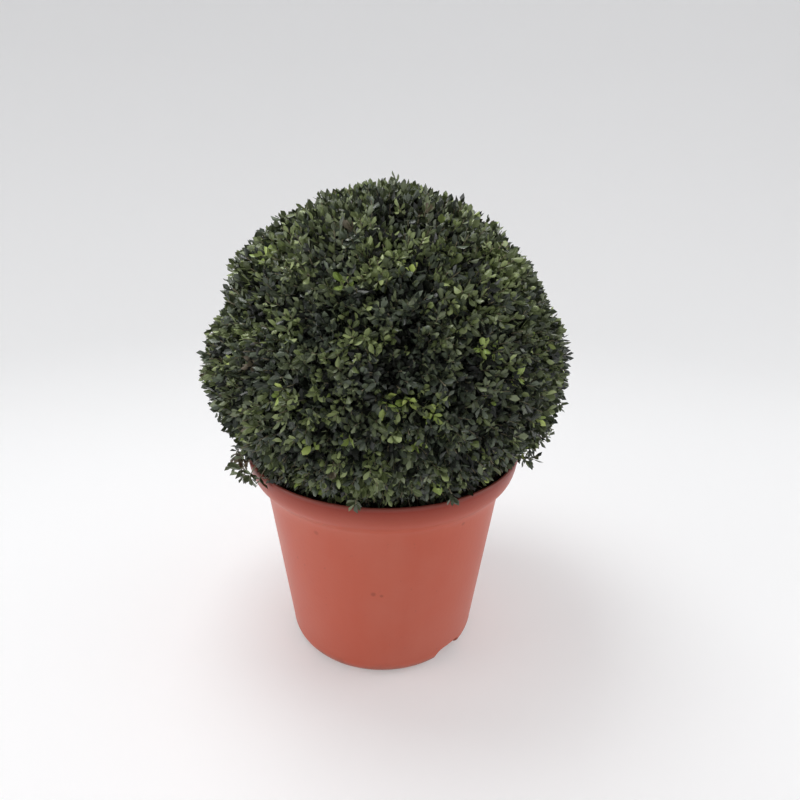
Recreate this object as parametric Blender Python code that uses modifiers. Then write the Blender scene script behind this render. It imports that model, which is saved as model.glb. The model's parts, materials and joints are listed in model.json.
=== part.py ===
"""Potted Japanese holly ball: a clipped evergreen ball in a terracotta-coloured nursery pot.

Units are metres and +Z is up. The origin is the middle of the pot's flat underside, on which
the plant stands. -Y is the front, with one of the two drain arches a little to its right.

The crown grows by one rule, tier by tier. The tips of a tier are spread evenly over the shape
that the shears leave, at a share of its reach, and each limb starts from the nearest tip of
the tier before it. The boughs are the first tier, the branches inside the crown's core are
the second, and the twigs that stand out of the core, with their leaves, are the third.
"""

import math
import random

import bmesh
import bpy
from mathutils import Matrix, Vector
from mathutils.geometry import intersect_line_line_2d

UP = Vector((0, 0, 1))
GAP = 0.0003  # left between neighbouring solids

# The pot, a thin shell that is turned about Z
POT_HEIGHT = 0.232
POT_WALL = 0.0026
POT_STEPS = 40
FOOT_RADIUS = 0.091  # outer edge of the ring that stands on the ground
HEEL_RADIUS = 0.1057  # top of the rounded heel, where the straight wall starts
HEEL_HEIGHT = 0.018
NECK_RADIUS = 0.1291  # top of the straight wall, where the collar starts
NECK_HEIGHT = 0.199
RIM_RADIUS = 0.146
MOUTH_RADIUS = 0.1415
LIP_ROUND = 0.003
COLLAR_RISE = Vector((0.003, 0.003))  # how the wall runs on from the neck before it flares
COLLAR_BELLY = Vector((0.003, -0.030))  # how the flare starts down from the lip
CHANNEL_INNER = 0.072  # the drain channel under the floor, a ring between foot and middle
CHANNEL_HEIGHT = 0.0195

# The drain arches through the foot, opposite each other
ARCH_COUNT = 2
ARCH_AZIMUTH = math.radians(-43.5)
ARCH_WIDTH = 0.040
ARCH_HEIGHT = 0.0175
ARCH_DEPTH = 0.030

# The growing medium that fills the pot
MEDIUM_EDGE = 0.208
MEDIUM_CROWNING = 0.004

# The short main stem and the boughs, which all point away from the middle of its fork
FORK = Vector((0, 0, 0.243))
FORK_RADIUS = 0.0125
STEM_RADIUS = 0.0095
FLARE_RADIUS = 0.019
FLARE_HEIGHT = 0.012
BOUGH_COUNT = 6  # one upright leader with the others in a ring round it
BOUGH_LEAN = math.radians(54)
BOUGH_RADIUS = 0.0048
BOUGH_TIP_RADIUS = 0.0027
BOUGH_SAG = 0.0045

# The space that the clipped crown fills
CROWN_CENTRE = Vector((0, 0, 0.316))
CROWN_RADIUS = 0.184
CROWN_RISE = 0.189
CROWN_DROP = 0.139
CROWN_POWER = 1.87
CROWN_FLOOR = 0.2155  # no leaf hangs lower than this
RIM_CLEARANCE = 0.004

# Swellings of the clipped surface, and a hollow where the height is negative: azimuth and
# elevation in degrees, height, spread in degrees
SWELLINGS = (
    (194, 2, 0.0065, 15),
    (188, 25, -0.0095, 12),
    (184, 40, 0.0080, 13),
    (203, -14, -0.0095, 12),
    (217, -33, 0.0070, 9),
    (-12, 6, 0.0060, 24),
    (-60, 35, 0.0035, 28),
    (100, 10, 0.0040, 30),
    (-120, -8, 0.0030, 24),
)

# The core, in which everything nearer the stem is fused, with its hollow over the boughs
CORE_INSET = 0.031
CORE_STEPS = 30
CORE_FLOOR = 0.226
HOLLOW_RADIUS = 0.066

# Growth, with one seed
SEED = 13
TIP_JITTER = 0.35  # of a tip's place, against the spacing of its tier
TIP_SHARES = (0.97, 1.03)
BRANCH_COUNT = 34
BRANCH_SHARE = 0.55
TWIG_COUNT = 150
TWIG_SHARE = 0.875
TWIG_SINK = 0.010
TWIG_RADIUS = 0.0021
TWIG_TIP_RADIUS = 0.0014
LEAVES_PER_TWIG = 4
LEAF_LENGTH = 0.036
LEAF_WIDTH = 0.0235
LEAF_THICKNESS = 0.0020
LEAF_BROADEST = 0.15  # past the middle, as a share of half the length
LEAF_SINK = 0.0004  # of a side leaf's root, past the middle of its twig
END_LEAF_SINK = 0.004  # of an end leaf's root, back from its twig's tip
LEAF_SPACING = 0.0162  # least distance between the middles of two leaves
LEAF_SIZES = (0.85, 1.1)  # least and greatest, as shares of LEAF_LENGTH
SMALL_LEAF = 0.8  # an end leaf's share of that, and any leaf's on a stray shoot
SHORTEST_LEAF = 0.6  # that the shears leave, as a share of the leaf's full length
CUT_STEP = 0.001
LEAF_LEAN = (0.95, 1.35)  # between a side leaf and its twig, in radians
END_LEAF_LEAN = (0.1, 0.3)
LEAF_TWIST = 0.4
BARE_SHARE = 0.6  # of a twig, below its first leaf
GOLDEN_ANGLE = math.pi * (3 - math.sqrt(5))

# Stray shoots that the shears missed: azimuth and height of the tip, and how far leaves may pass
# the clipped surface there
STRAY_SHOOTS = (
    (-20, 0.276, 0.008),
    (-27, 0.247, 0.014),
    (-14, 0.250, 0.012),
    (-152, 0.246, 0.014),
    (150, 0.262, 0.008),
)
EXTRA_STRAY_LEAVES = 2

COLLECTION = bpy.data.collections.new("potted_japanese_holly_ball")
CUTTERS = bpy.data.collections.new("cutters")


def clear_scene():
    for item in list(bpy.data.objects):
        bpy.data.objects.remove(item, do_unlink=True)
    for collection in (COLLECTION, CUTTERS):
        bpy.context.scene.collection.children.link(collection)


def material(name, colour, roughness):
    result = bpy.data.materials.new(name)
    result.use_nodes = True
    shader = result.node_tree.nodes["Principled BSDF"]
    shader.inputs["Base Color"].default_value = (*colour, 1)
    shader.inputs["Roughness"].default_value = roughness
    return result


def add_object(name, mesh, finish=None, collection=COLLECTION):
    result = bpy.data.objects.new(name, mesh)
    collection.objects.link(result)
    if finish:
        mesh.materials.append(finish)
    return result


def shade_round(mesh, angle=35):
    mesh.shade_smooth()
    mesh.set_sharp_from_angle(angle=math.radians(angle))


def bezier(a, b, c, d, count):
    """Points of a cubic curve from a to d, both ends included."""
    points = []
    for i in range(count):
        t = i / (count - 1)
        s = 1 - t
        points.append(a * s**3 + b * 3 * t * s * s + c * 3 * t * t * s + d * t**3)
    return points


def turned(name, profile, finish, steps, collection=COLLECTION):
    """A solid of revolution. The profile is (radius, height) points from axis to axis."""
    mesh = bpy.data.meshes.new(name)
    points = [(radius, 0, height) for radius, height in profile]
    edges = [(i, i + 1) for i in range(len(points) - 1)]
    mesh.from_pydata(points, edges, [])
    result = add_object(name, mesh, finish, collection)
    screw = result.modifiers.new("turn", "SCREW")
    screw.axis = "Z"
    screw.angle = math.tau
    screw.steps = steps
    screw.render_steps = steps
    screw.use_merge_vertices = True
    screw.merge_threshold = 0.00001
    screw.use_smooth_shade = True
    return result


# ---- The pot ----


def heel(inset, count):
    """The rounded heel from the ground up, moved in by inset."""
    points = []
    for i in range(count):
        angle = math.pi / 2 * i / (count - 1)
        radius = FOOT_RADIUS + (HEEL_RADIUS - FOOT_RADIUS) * math.sin(angle)
        height = HEEL_HEIGHT * (1 - math.cos(angle))
        points.append(Vector((radius - inset, height)))
    return points


def collar(inset, count):
    """The flared collar from the neck up to the lip, moved in by inset."""
    away = Vector((-inset, 0))
    neck = Vector((NECK_RADIUS, NECK_HEIGHT)) + away
    edge = Vector((RIM_RADIUS, POT_HEIGHT - LIP_ROUND)) + away
    return bezier(neck, neck + COLLAR_RISE, edge + COLLAR_BELLY, edge, count)


def lip(count):
    """The half-round top of the rim, from inside to outside, without its ends."""
    middle = (RIM_RADIUS + MOUTH_RADIUS) / 2
    half = (RIM_RADIUS - MOUTH_RADIUS) / 2
    points = []
    for i in range(1, count - 1):
        angle = math.pi * (1 - i / (count - 1))
        height = POT_HEIGHT - LIP_ROUND + LIP_ROUND * math.sin(angle)
        points.append(Vector((middle + half * math.cos(angle), height)))
    return points


def pot_inside():
    """The pot's inner surface, from the middle of its floor up to the mouth."""
    step = CHANNEL_INNER - POT_WALL
    shelf = CHANNEL_HEIGHT + POT_WALL
    return [
        Vector((0, POT_WALL)),
        Vector((step, POT_WALL)),
        Vector((step, shelf)),
        Vector((HEEL_RADIUS - POT_WALL, shelf)),
        *collar(RIM_RADIUS - MOUTH_RADIUS, 6),
    ]


def pot_outside():
    """The pot's outer surface, from the lip down to the foot and in along the underside."""
    return [
        *reversed(collar(0, 9)),
        *reversed(heel(0, 6)),
        *heel(POT_WALL, 4)[:-1],
        Vector((HEEL_RADIUS - POT_WALL, CHANNEL_HEIGHT)),
        Vector((CHANNEL_INNER, CHANNEL_HEIGHT)),
        Vector((CHANNEL_INNER, 0)),
        Vector((0, 0)),
    ]


def arch_cutter(index):
    """A short bar with a round-shouldered arch for its section, along the pot's radius."""
    outline = bpy.data.curves.new(f"arch_{index}", "CURVE")
    outline.dimensions = "2D"
    outline.fill_mode = "BOTH"
    outline.extrude = ARCH_DEPTH / 2
    half = ARCH_WIDTH / 2
    points = [(-half, -ARCH_HEIGHT / 2), (half, -ARCH_HEIGHT / 2)]
    shoulders = 9
    for i in range(shoulders):
        angle = math.pi * i / (shoulders - 1)
        across = math.copysign(abs(math.cos(angle)) ** 0.5, math.cos(angle))
        points.append((half * across, ARCH_HEIGHT * math.sin(angle) ** 0.5))
    spline = outline.splines.new("POLY")
    spline.points.add(len(points) - 1)
    for point, (across, height) in zip(spline.points, points):
        point.co = (across, height, 0, 1)
    spline.use_cyclic_u = True
    curve = add_object(outline.name, outline, collection=CUTTERS)
    azimuth = ARCH_AZIMUTH + math.tau * index / ARCH_COUNT
    outward = Vector((math.cos(azimuth), math.sin(azimuth), 0))
    turn = Matrix((outward.cross(UP) * -1, UP, outward)).transposed()
    curve.matrix_world = Matrix.LocRotScale(outward * FOOT_RADIUS, turn.to_quaternion(), None)
    cutter = to_mesh_object(curve, CUTTERS)
    cutter.display_type = "WIRE"
    cutter.hide_render = True
    return cutter


def to_mesh_object(curve, collection=COLLECTION):
    """Replaces a curve object by a mesh object of the same name, with its caps welded on."""
    bpy.context.view_layer.update()
    evaluated = curve.evaluated_get(bpy.context.evaluated_depsgraph_get())
    mesh = bpy.data.meshes.new_from_object(evaluated)
    name = curve.name
    place = curve.matrix_world.copy()
    bpy.data.objects.remove(curve, do_unlink=True)
    shape = bmesh.new()
    shape.from_mesh(mesh)
    bmesh.ops.remove_doubles(shape, verts=shape.verts, dist=0.00001)
    bmesh.ops.recalc_face_normals(shape, faces=shape.faces)
    shape.to_mesh(mesh)
    shape.free()
    result = add_object(name, mesh, collection=collection)
    result.matrix_world = place
    return result


def build_pot():
    finish = material("pot_plastic", (0.46, 0.11, 0.07), 0.42)
    pot = turned("pot", pot_inside() + lip(7) + pot_outside(), finish, POT_STEPS)
    for index in range(ARCH_COUNT):
        cut = pot.modifiers.new(f"drain_arch_{index + 1}", "BOOLEAN")
        cut.operation = "DIFFERENCE"
        cut.solver = "EXACT"
        cut.object = arch_cutter(index)
    return pot


def build_medium():
    """The potting mix follows the pot's inside a gap away, and rises a little in the middle."""
    finish = material("potting_mix", (0.035, 0.022, 0.015), 0.95)
    step = CHANNEL_INNER - POT_WALL - GAP
    shelf = CHANNEL_HEIGHT + POT_WALL + GAP
    edge = collar(RIM_RADIUS - MOUTH_RADIUS + GAP, 6)
    wall = [point for point in edge if point.y < MEDIUM_EDGE]
    top = []
    rings = 4
    for i in range(1, rings + 1):
        share = 1 - i / rings
        rise = MEDIUM_CROWNING * (1 - share * share)
        top.append(Vector((wall[-1].x * share, MEDIUM_EDGE + rise)))
    floor = POT_WALL + GAP
    bottom = [Vector((HEEL_RADIUS - POT_WALL - GAP, shelf)), Vector((step, shelf))]
    bottom += [Vector((step, floor)), Vector((0, floor))]
    profile = list(reversed(top)) + list(reversed(wall)) + bottom
    return turned("growing_medium", profile, finish, POT_STEPS)


# ---- Stem and boughs ----


def limb(name, points, radii, finish, sides=10):
    """One tapering limb with flat ends along the points."""
    path = bpy.data.curves.new(name, "CURVE")
    path.dimensions = "3D"
    path.bevel_depth = 1
    path.bevel_resolution = sides // 2 - 2
    path.use_fill_caps = True
    spline = path.splines.new("POLY")
    spline.points.add(len(points) - 1)
    for point, place, radius in zip(spline.points, points, radii):
        point.co = (*place, 1)
        point.radius = radius
    result = to_mesh_object(add_object(name, path))
    result.data.materials.append(finish)
    shade_round(result.data)
    return result


def build_stem(finish):
    """The main stem, from a flat cut on the potting mix, through its root flare, to the fork."""
    foot = MEDIUM_EDGE + MEDIUM_CROWNING + GAP
    top = FORK.z + FORK_RADIUS * 0.5
    points = []
    radii = []
    rings = 9
    for i in range(rings):
        height = foot + (top - foot) * (i / (rings - 1)) ** 1.3
        flare = (FLARE_RADIUS - STEM_RADIUS) * math.exp(-3 * (height - foot) / FLARE_HEIGHT)
        level = (height - FORK.z) / FORK_RADIUS
        knob = FORK_RADIUS * math.sqrt(max(0, 1 - level * level))
        points.append(Vector((0, 0, height)))
        radii.append(max(STEM_RADIUS + flare, knob) if level > -1 else STEM_RADIUS + flare)
    return limb("main_stem", points, radii, finish, 12)


def hollow_profile():
    """The hollow in the crown's core over the fork, from its edge up to its top."""
    rings = 9
    low = math.asin((CORE_FLOOR - FORK.z) / HOLLOW_RADIUS)
    points = []
    for i in range(rings):
        angle = low + (math.pi / 2 - low) * i / (rings - 1)
        height = FORK.z + HOLLOW_RADIUS * math.sin(angle)
        points.append(Vector((HOLLOW_RADIUS * math.cos(angle), height)))
    points[-1].x = 0
    return points


def hollow_distance(direction):
    """How far the hollow's faceted surface is from the fork, towards the middle of a facet."""
    facet = math.cos(math.pi / CORE_STEPS)
    start = Vector((0, FORK.z))
    far = start + Vector((math.hypot(direction.x, direction.y), direction.z)) * 2 * HOLLOW_RADIUS
    points = [Vector((point.x * facet, point.y)) for point in hollow_profile()]
    for a, b in zip(points, points[1:]):
        hit = intersect_line_line_2d(start, far, a, b)
        if hit:
            return (hit - start).length
    return HOLLOW_RADIUS


def bough_directions():
    """One bough straight up and the others in a ring, each towards the middle of a facet."""
    directions = [UP.copy()]
    ring = BOUGH_COUNT - 1
    for i in range(ring):
        azimuth = math.tau * i / ring + math.pi / CORE_STEPS
        flat = Vector((math.cos(azimuth), math.sin(azimuth), 0))
        directions.append(flat * math.sin(BOUGH_LEAN) + UP * math.cos(BOUGH_LEAN))
    return directions


def build_boughs(finish):
    """Each bough leaves the fork and ends a gap short of the hollow in the crown's core."""
    start = FORK_RADIUS + GAP
    rings = 7
    for index, direction in enumerate(bough_directions()):
        end = hollow_distance(direction) - 2 * GAP
        points = []
        radii = []
        for i in range(rings):
            t = i / (rings - 1)
            sag = BOUGH_SAG * math.sin(math.pi * t) ** 2 * (1 - direction.z)
            points.append(FORK + direction * (start + (end - start) * t) - UP * sag)
            radii.append(BOUGH_RADIUS + (BOUGH_TIP_RADIUS - BOUGH_RADIUS) * t)
        limb(f"bough_{index + 1}", points, radii, finish, 8)


# ---- The crown's space ----


def direction_of(azimuth, elevation):
    azimuth = math.radians(azimuth)
    elevation = math.radians(elevation)
    flat = Vector((math.cos(azimuth), math.sin(azimuth), 0))
    return flat * math.cos(elevation) + UP * math.sin(elevation)


def reach(direction):
    """How far the clipped surface lies from the crown's centre in a unit direction."""
    across = math.hypot(direction.x, direction.y) / CROWN_RADIUS
    along = abs(direction.z) / (CROWN_RISE if direction.z > 0 else CROWN_DROP)
    result = (across**CROWN_POWER + along**CROWN_POWER) ** (-1 / CROWN_POWER)
    for azimuth, elevation, height, spread in SWELLINGS:
        off = direction.angle(direction_of(azimuth, elevation)) / math.radians(spread)
        result += height * math.exp(-off * off)
    return result


def in_space(point, stray=0.0):
    """Whether a point is inside the clipped surface and clear of the pot and its filling."""
    offset = point - CROWN_CENTRE
    if offset.length > reach(offset.normalized()) + stray:
        return False
    if point.z < CROWN_FLOOR:
        return False
    flat = math.hypot(point.x, point.y)
    over_rim = point.z > POT_HEIGHT + RIM_CLEARANCE
    return over_rim or flat < MOUTH_RADIUS - 2 * RIM_CLEARANCE


def spread_tips(count, share, chance):
    """Tips spread evenly over the crown's space at a share of its reach, a little jittered."""
    tips = []
    for i in range(count):
        height = 1 - 2 * (i + 0.5) / count
        flat = math.sqrt(1 - height * height)
        azimuth = GOLDEN_ANGLE * i
        direction = Vector((flat * math.cos(azimuth), flat * math.sin(azimuth), height))
        jitter = Vector((chance.gauss(0, 1), chance.gauss(0, 1), chance.gauss(0, 1)))
        direction = (direction + jitter * TIP_JITTER / math.sqrt(count)).normalized()
        tip = CROWN_CENTRE + direction * reach(direction) * share * chance.uniform(*TIP_SHARES)
        if in_space(tip):
            tips.append(tip)
    return tips


def nearest(point, others):
    return min(others, key=lambda other: (other - point).length)


# ---- The crown ----


def crown_radius_at(height, inset=0.0):
    """The crown's plain radius at a height, or its core's where an inset is given."""
    level = height - CROWN_CENTRE.z
    if level < 0:
        share = max(0, 1 - (-level / CROWN_DROP) ** CROWN_POWER)
        return CROWN_RADIUS * share ** (1 / CROWN_POWER) - inset
    share = max(0, 1 - (level / (CROWN_RISE - inset)) ** CROWN_POWER)
    return (CROWN_RADIUS - inset) * share ** (1 / CROWN_POWER)


def build_core():
    """The turned core, with a round hollow from below that leaves room for stem and boughs."""
    outside = []
    top = CROWN_CENTRE.z + CROWN_RISE - CORE_INSET
    rings = 12
    for i in range(rings):
        turn = i / (rings - 1)
        height = CORE_FLOOR + (top - CORE_FLOOR) * (1 + math.cos(math.pi * turn)) / 2
        outside.append(Vector((crown_radius_at(height, CORE_INSET), height)))
    outside[0].x = 0
    return turned("core", outside + hollow_profile(), None, CORE_STEPS, CUTTERS)


def outward_of(point):
    return (point - CROWN_CENTRE).normalized()


def across_of(along):
    """A unit vector square to along."""
    helper = UP if abs(along.z) < 0.9 else Vector((1, 0, 0))
    return along.cross(helper).normalized()


def twig_shape(start, tip, parts):
    """A straight three-sided twig."""
    along = tip - start
    shape = bmesh.new()
    bmesh.ops.create_cone(
        shape,
        cap_ends=True,
        segments=3,
        radius1=TWIG_RADIUS,
        radius2=TWIG_TIP_RADIUS,
        depth=along.length,
    )
    turn = along.to_track_quat("Z", "Y")
    place = Matrix.LocRotScale((start + tip) / 2, turn, None)
    bmesh.ops.transform(shape, matrix=place, verts=shape.verts)
    add_part(shape, parts)


def leaf_shape(root, along, face, length, parts):
    """A keeled leaf of six faces, widest past its middle, whose root is sunk in its twig."""
    shape = bmesh.new()
    bmesh.ops.create_cone(shape, cap_ends=True, segments=4, radius1=1, radius2=0, depth=1)
    across = along.cross(face).normalized()
    face = across.cross(along).normalized()
    axes = Matrix((along * length / 2, across * LEAF_WIDTH / 2, face * LEAF_THICKNESS))
    place = Matrix.Translation(root + along * length / 2) @ axes.transposed().to_4x4()
    for vert in shape.verts:
        if abs(vert.co.x) < 0.5:
            vert.co.x = LEAF_BROADEST
    bmesh.ops.transform(shape, matrix=place, verts=shape.verts)
    add_part(shape, parts)


def add_part(shape, parts):
    bmesh.ops.recalc_face_normals(shape, faces=shape.faces)
    mesh = bpy.data.meshes.new("part")
    shape.to_mesh(mesh)
    shape.free()
    add_object("part", mesh, collection=parts)


def cut_length(root, along, full, stray):
    """The length that stays of a leaf inside the crown's space, or 0 where too little would."""
    length = full
    while length > full * SHORTEST_LEAF:
        if all(in_space(root + along * length * share, stray) for share in (0.5, 0.8, 1)):
            return length
        length -= CUT_STEP
    return 0


def grow_twig(start, tip, stray, chance, middles, parts):
    """A twig from inside the core to its tip, with a leaf at the tip and others round it.

    A leaf that would leave the crown's space is cut, and one that would crowd another is left
    out. The middles of the leaves are kept in a list, which the next twigs go by.
    """
    twig_shape(start, tip, parts)
    along = (tip - start).normalized()
    count = LEAVES_PER_TWIG + (EXTRA_STRAY_LEAVES if stray else 0)
    side = across_of(along)
    turn = chance.uniform(0, math.tau)
    for i in range(count + 1):
        last = i == count
        turn += math.tau / count + chance.uniform(-0.3, 0.3)
        away = Matrix.Rotation(turn, 3, along) @ side
        lean = chance.uniform(*(END_LEAF_LEAN if last else LEAF_LEAN))
        leaf_along = (along * math.cos(lean) + away * math.sin(lean)).normalized()
        place = start.lerp(tip, BARE_SHARE + (1 - BARE_SHARE) * (i + 0.5) / (count + 1))
        root = tip - along * END_LEAF_SINK if last else place - leaf_along * LEAF_SINK
        full = LEAF_LENGTH * chance.uniform(*LEAF_SIZES) * (SMALL_LEAF if stray or last else 1)
        length = cut_length(root, leaf_along, full, stray)
        middle = root + leaf_along * length / 2
        if not length or any((middle - other).length < LEAF_SPACING for other in middles):
            continue
        middles.append(middle)
        face = outward_of(root) + away * chance.uniform(-LEAF_TWIST, LEAF_TWIST)
        leaf_shape(root, leaf_along, face, length, parts)


def stray_tip(azimuth, height, stray):
    """The tip of a stray shoot, a little past the clipped surface."""
    low = UP * (height - CROWN_CENTRE.z)
    direction = (direction_of(azimuth, 0) * crown_radius_at(height) + low).normalized()
    return CROWN_CENTRE + direction * (reach(direction) + stray / 3)


def build_crown():
    finish = material("holly_foliage", (0.028, 0.052, 0.026), 0.38)
    chance = random.Random(SEED)
    parts = bpy.data.collections.new("crown_parts")
    bpy.context.scene.collection.children.link(parts)
    branch_tips = spread_tips(BRANCH_COUNT, BRANCH_SHARE, chance)
    twig_tips = [(tip, 0.0) for tip in spread_tips(TWIG_COUNT, TWIG_SHARE, chance)]
    twig_tips += [(stray_tip(*shoot), shoot[2]) for shoot in STRAY_SHOOTS]
    middles = []
    for tip, stray in twig_tips:
        along = (tip - nearest(tip, branch_tips)).normalized() + outward_of(tip)
        along.normalize()
        leaving = leave_core(tip, along)
        if leaving is None:
            continue
        grow_twig(leaving - along * TWIG_SINK, tip, stray, chance, middles, parts)
    crown = build_core()
    crown.name = "clipped_crown"
    join = crown.modifiers.new("join", "BOOLEAN")
    join.operation = "UNION"
    join.solver = "MANIFOLD"
    join.operand_type = "COLLECTION"
    join.collection = parts
    mesh = applied_mesh(crown, "clipped_crown")
    bpy.data.objects.remove(crown, do_unlink=True)
    for part in list(parts.objects):
        bpy.data.objects.remove(part, do_unlink=True)
    bpy.data.collections.remove(parts)
    keep_largest_body(mesh)
    return add_object("clipped_crown", mesh, finish)


def leave_core(tip, along):
    """The point where the line that runs back from a tip enters the core, if it does."""
    step = 0.001
    facet = math.cos(math.pi / CORE_STEPS)
    point = tip.copy()
    while point.z > CORE_FLOOR and (point - CROWN_CENTRE).dot(along) > 0:
        if math.hypot(point.x, point.y) < crown_radius_at(point.z, CORE_INSET) * facet:
            return point
        point -= along * step
    return None


def applied_mesh(item, name):
    """The item's mesh with all its modifiers applied."""
    bpy.context.view_layer.update()
    evaluated = item.evaluated_get(bpy.context.evaluated_depsgraph_get())
    mesh = bpy.data.meshes.new_from_object(evaluated)
    mesh.name = name
    mesh.materials.clear()
    return mesh


def keep_largest_body(mesh):
    """Drops loose scraps and sealed hollows: only the largest connected surface stays."""
    shape = bmesh.new()
    shape.from_mesh(mesh)
    left = set(shape.verts)
    bodies = []
    while left:
        body = [left.pop()]
        for vert in body:
            for edge in vert.link_edges:
                other = edge.other_vert(vert)
                if other in left:
                    left.remove(other)
                    body.append(other)
        bodies.append(body)
    bodies.sort(key=len)
    for body in bodies[:-1]:
        bmesh.ops.delete(shape, geom=body, context="VERTS")
    shape.to_mesh(mesh)
    shape.free()


def main():
    clear_scene()
    build_pot()
    build_medium()
    bark = material("holly_bark", (0.16, 0.125, 0.09), 0.85)
    build_stem(bark)
    build_boughs(bark)
    build_crown()


main()
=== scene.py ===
# %% [markdown]
# # A clipped holly ball in its nursery pot
#
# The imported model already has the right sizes: a turned pot, the potting mix, a short stem with
# six boughs, and one plain solid for the clipped crown. This lesson gives each of them its looks.
# The pot becomes a smooth moulded shell, the stem gets bark, and the crown's solid gives way to
# branches, twigs and tens of thousands of small leaves that grow by the same rule as the solid.
#
# The first cell loads the model. Nothing here moves or changes it. New pieces are made in the
# same frame: metres, +Z up, the origin under the middle of the pot, and the front at -Y.

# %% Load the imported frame
import json
import math
import random

import bmesh
import bpy
import numpy as np
from mathutils import Matrix, Vector, noise

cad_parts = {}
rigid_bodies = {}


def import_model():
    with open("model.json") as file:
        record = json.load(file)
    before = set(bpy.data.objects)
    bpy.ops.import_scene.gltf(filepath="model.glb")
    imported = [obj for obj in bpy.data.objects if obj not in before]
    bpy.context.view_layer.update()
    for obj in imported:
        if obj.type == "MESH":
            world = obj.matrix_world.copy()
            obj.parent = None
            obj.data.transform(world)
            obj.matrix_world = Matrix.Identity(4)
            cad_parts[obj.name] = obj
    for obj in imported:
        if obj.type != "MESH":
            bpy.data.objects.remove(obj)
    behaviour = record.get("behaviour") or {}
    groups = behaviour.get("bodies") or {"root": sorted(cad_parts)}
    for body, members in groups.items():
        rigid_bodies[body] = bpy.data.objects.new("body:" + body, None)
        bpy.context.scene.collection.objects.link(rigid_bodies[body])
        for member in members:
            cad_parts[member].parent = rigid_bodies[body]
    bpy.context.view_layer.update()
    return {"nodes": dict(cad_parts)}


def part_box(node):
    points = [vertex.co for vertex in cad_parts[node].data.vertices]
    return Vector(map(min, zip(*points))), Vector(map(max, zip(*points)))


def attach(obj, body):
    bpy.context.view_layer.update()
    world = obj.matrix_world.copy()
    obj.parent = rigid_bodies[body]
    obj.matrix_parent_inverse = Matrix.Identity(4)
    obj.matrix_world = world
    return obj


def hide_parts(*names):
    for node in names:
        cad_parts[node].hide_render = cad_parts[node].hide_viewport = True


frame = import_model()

UP = Vector((0, 0, 1))
scene = bpy.context.scene
print("nodes:", ", ".join(sorted(frame["nodes"])))

# %% [markdown]
# ## Camera
#
# The plant is seen from the front and from above the middle of the crown. A camera that hangs
# over the floor at 54 cm and looks down by 22 degrees gives that view. The lens follows from the
# focal length in pixels, because a sensor's width spans the picture's 800 pixels. A small roll
# stands for a camera that is held by hand.

# %% Place the camera
IMAGE_SIDE = 800
FOCAL_PIXELS = 660
CAMERA_PLACE = Vector((0.0169, -0.655, 0.541))
CAMERA_PITCH = math.radians(21.8)
CAMERA_ROLL = math.radians(1.03)

camera = bpy.data.objects.new("camera", bpy.data.cameras.new("camera"))
camera.data.lens = camera.data.sensor_width * FOCAL_PIXELS / IMAGE_SIDE
tilt = Matrix.Rotation(math.pi / 2 - CAMERA_PITCH, 4, "X")
roll = Matrix.Rotation(CAMERA_ROLL, 4, "Z")
camera.matrix_world = Matrix.Translation(CAMERA_PLACE) @ tilt @ roll
scene.collection.objects.link(camera)
scene.camera = camera
print(f"lens {camera.data.lens:.1f} mm")

# %% [markdown]
# ## Helpers for meshes
#
# A few short helpers serve every piece. One puts a mesh into the scene. The others bake a
# piece's modifiers into a plain mesh, turn an azimuth and an elevation into a direction, and
# give the points of a smooth curve.


# %% Add pieces and attach them to the plant's body
def add_object(name, mesh, finish=None):
    result = bpy.data.objects.new(name, mesh)
    scene.collection.objects.link(result)
    if finish:
        mesh.materials.clear()
        mesh.materials.append(finish)
    return result


def declare(piece, slot, *nodes):
    """The piece rides on the plant's body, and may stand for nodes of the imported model."""
    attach(piece, "root")
    if nodes:
        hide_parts(*nodes)
    piece.data.calc_loop_triangles()
    print(f"{piece.name}: {len(piece.data.loop_triangles)} triangles")


def baked(piece):
    """The same piece as a plain mesh, with its modifiers applied and removed."""
    bpy.context.view_layer.update()
    shown = piece.evaluated_get(bpy.context.evaluated_depsgraph_get())
    mesh = bpy.data.meshes.new_from_object(shown)
    piece.modifiers.clear()
    piece.data = mesh
    return piece


def direction_of(azimuth, elevation):
    """The unit direction of an azimuth and an elevation in degrees."""
    azimuth = math.radians(azimuth)
    elevation = math.radians(elevation)
    flat = Vector((math.cos(azimuth), math.sin(azimuth), 0))
    return flat * math.cos(elevation) + UP * math.sin(elevation)


def bezier(a, b, c, d, count):
    """Points of a cubic curve from a to d, both ends included."""
    points = []
    for i in range(count):
        t = i / (count - 1)
        s = 1 - t
        points.append(a * s**3 + b * 3 * t * s * s + c * 3 * t * t * s + d * t**3)
    return points


# %% [markdown]
# ## Helpers for node trees
#
# Materials and Geometry Nodes are both trees of nodes. `place` adds one node, sets its options
# and fills its inputs in one call: an input gets either a plain value or a link from another
# node's output. `new_tree` starts a tree that is used as a group or a modifier, with its named
# inputs and outputs, and `started` starts a material. The others stand for one node each.


# %% Tree helpers
def place(tree, kind, inputs=None, **options):
    """Adds a node. Inputs are given by name or by position, as values or as output sockets."""
    node = tree.nodes.new(kind)
    for key, value in options.items():
        setattr(node, key, value)
    for key, value in (inputs or {}).items():
        socket = node.inputs[key]
        if isinstance(value, bpy.types.NodeSocket):
            tree.links.new(value, socket)
        else:
            socket.default_value = value
    return node


def new_tree(name, kind, inputs, outputs):
    """Starts a group, and gives it, the sockets of its inputs and the sockets of its outputs.

    Inputs are (name, socket type, value) and outputs (name, socket type).
    """
    tree = bpy.data.node_groups.new(name, kind)
    for label, socket_type, value in inputs:
        socket = tree.interface.new_socket(label, in_out="INPUT", socket_type=socket_type)
        if value is not None:
            socket.default_value = value
    for label, socket_type in outputs:
        tree.interface.new_socket(label, in_out="OUTPUT", socket_type=socket_type)
    given = tree.nodes.new("NodeGroupInput").outputs
    return tree, given, tree.nodes.new("NodeGroupOutput").inputs


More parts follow.
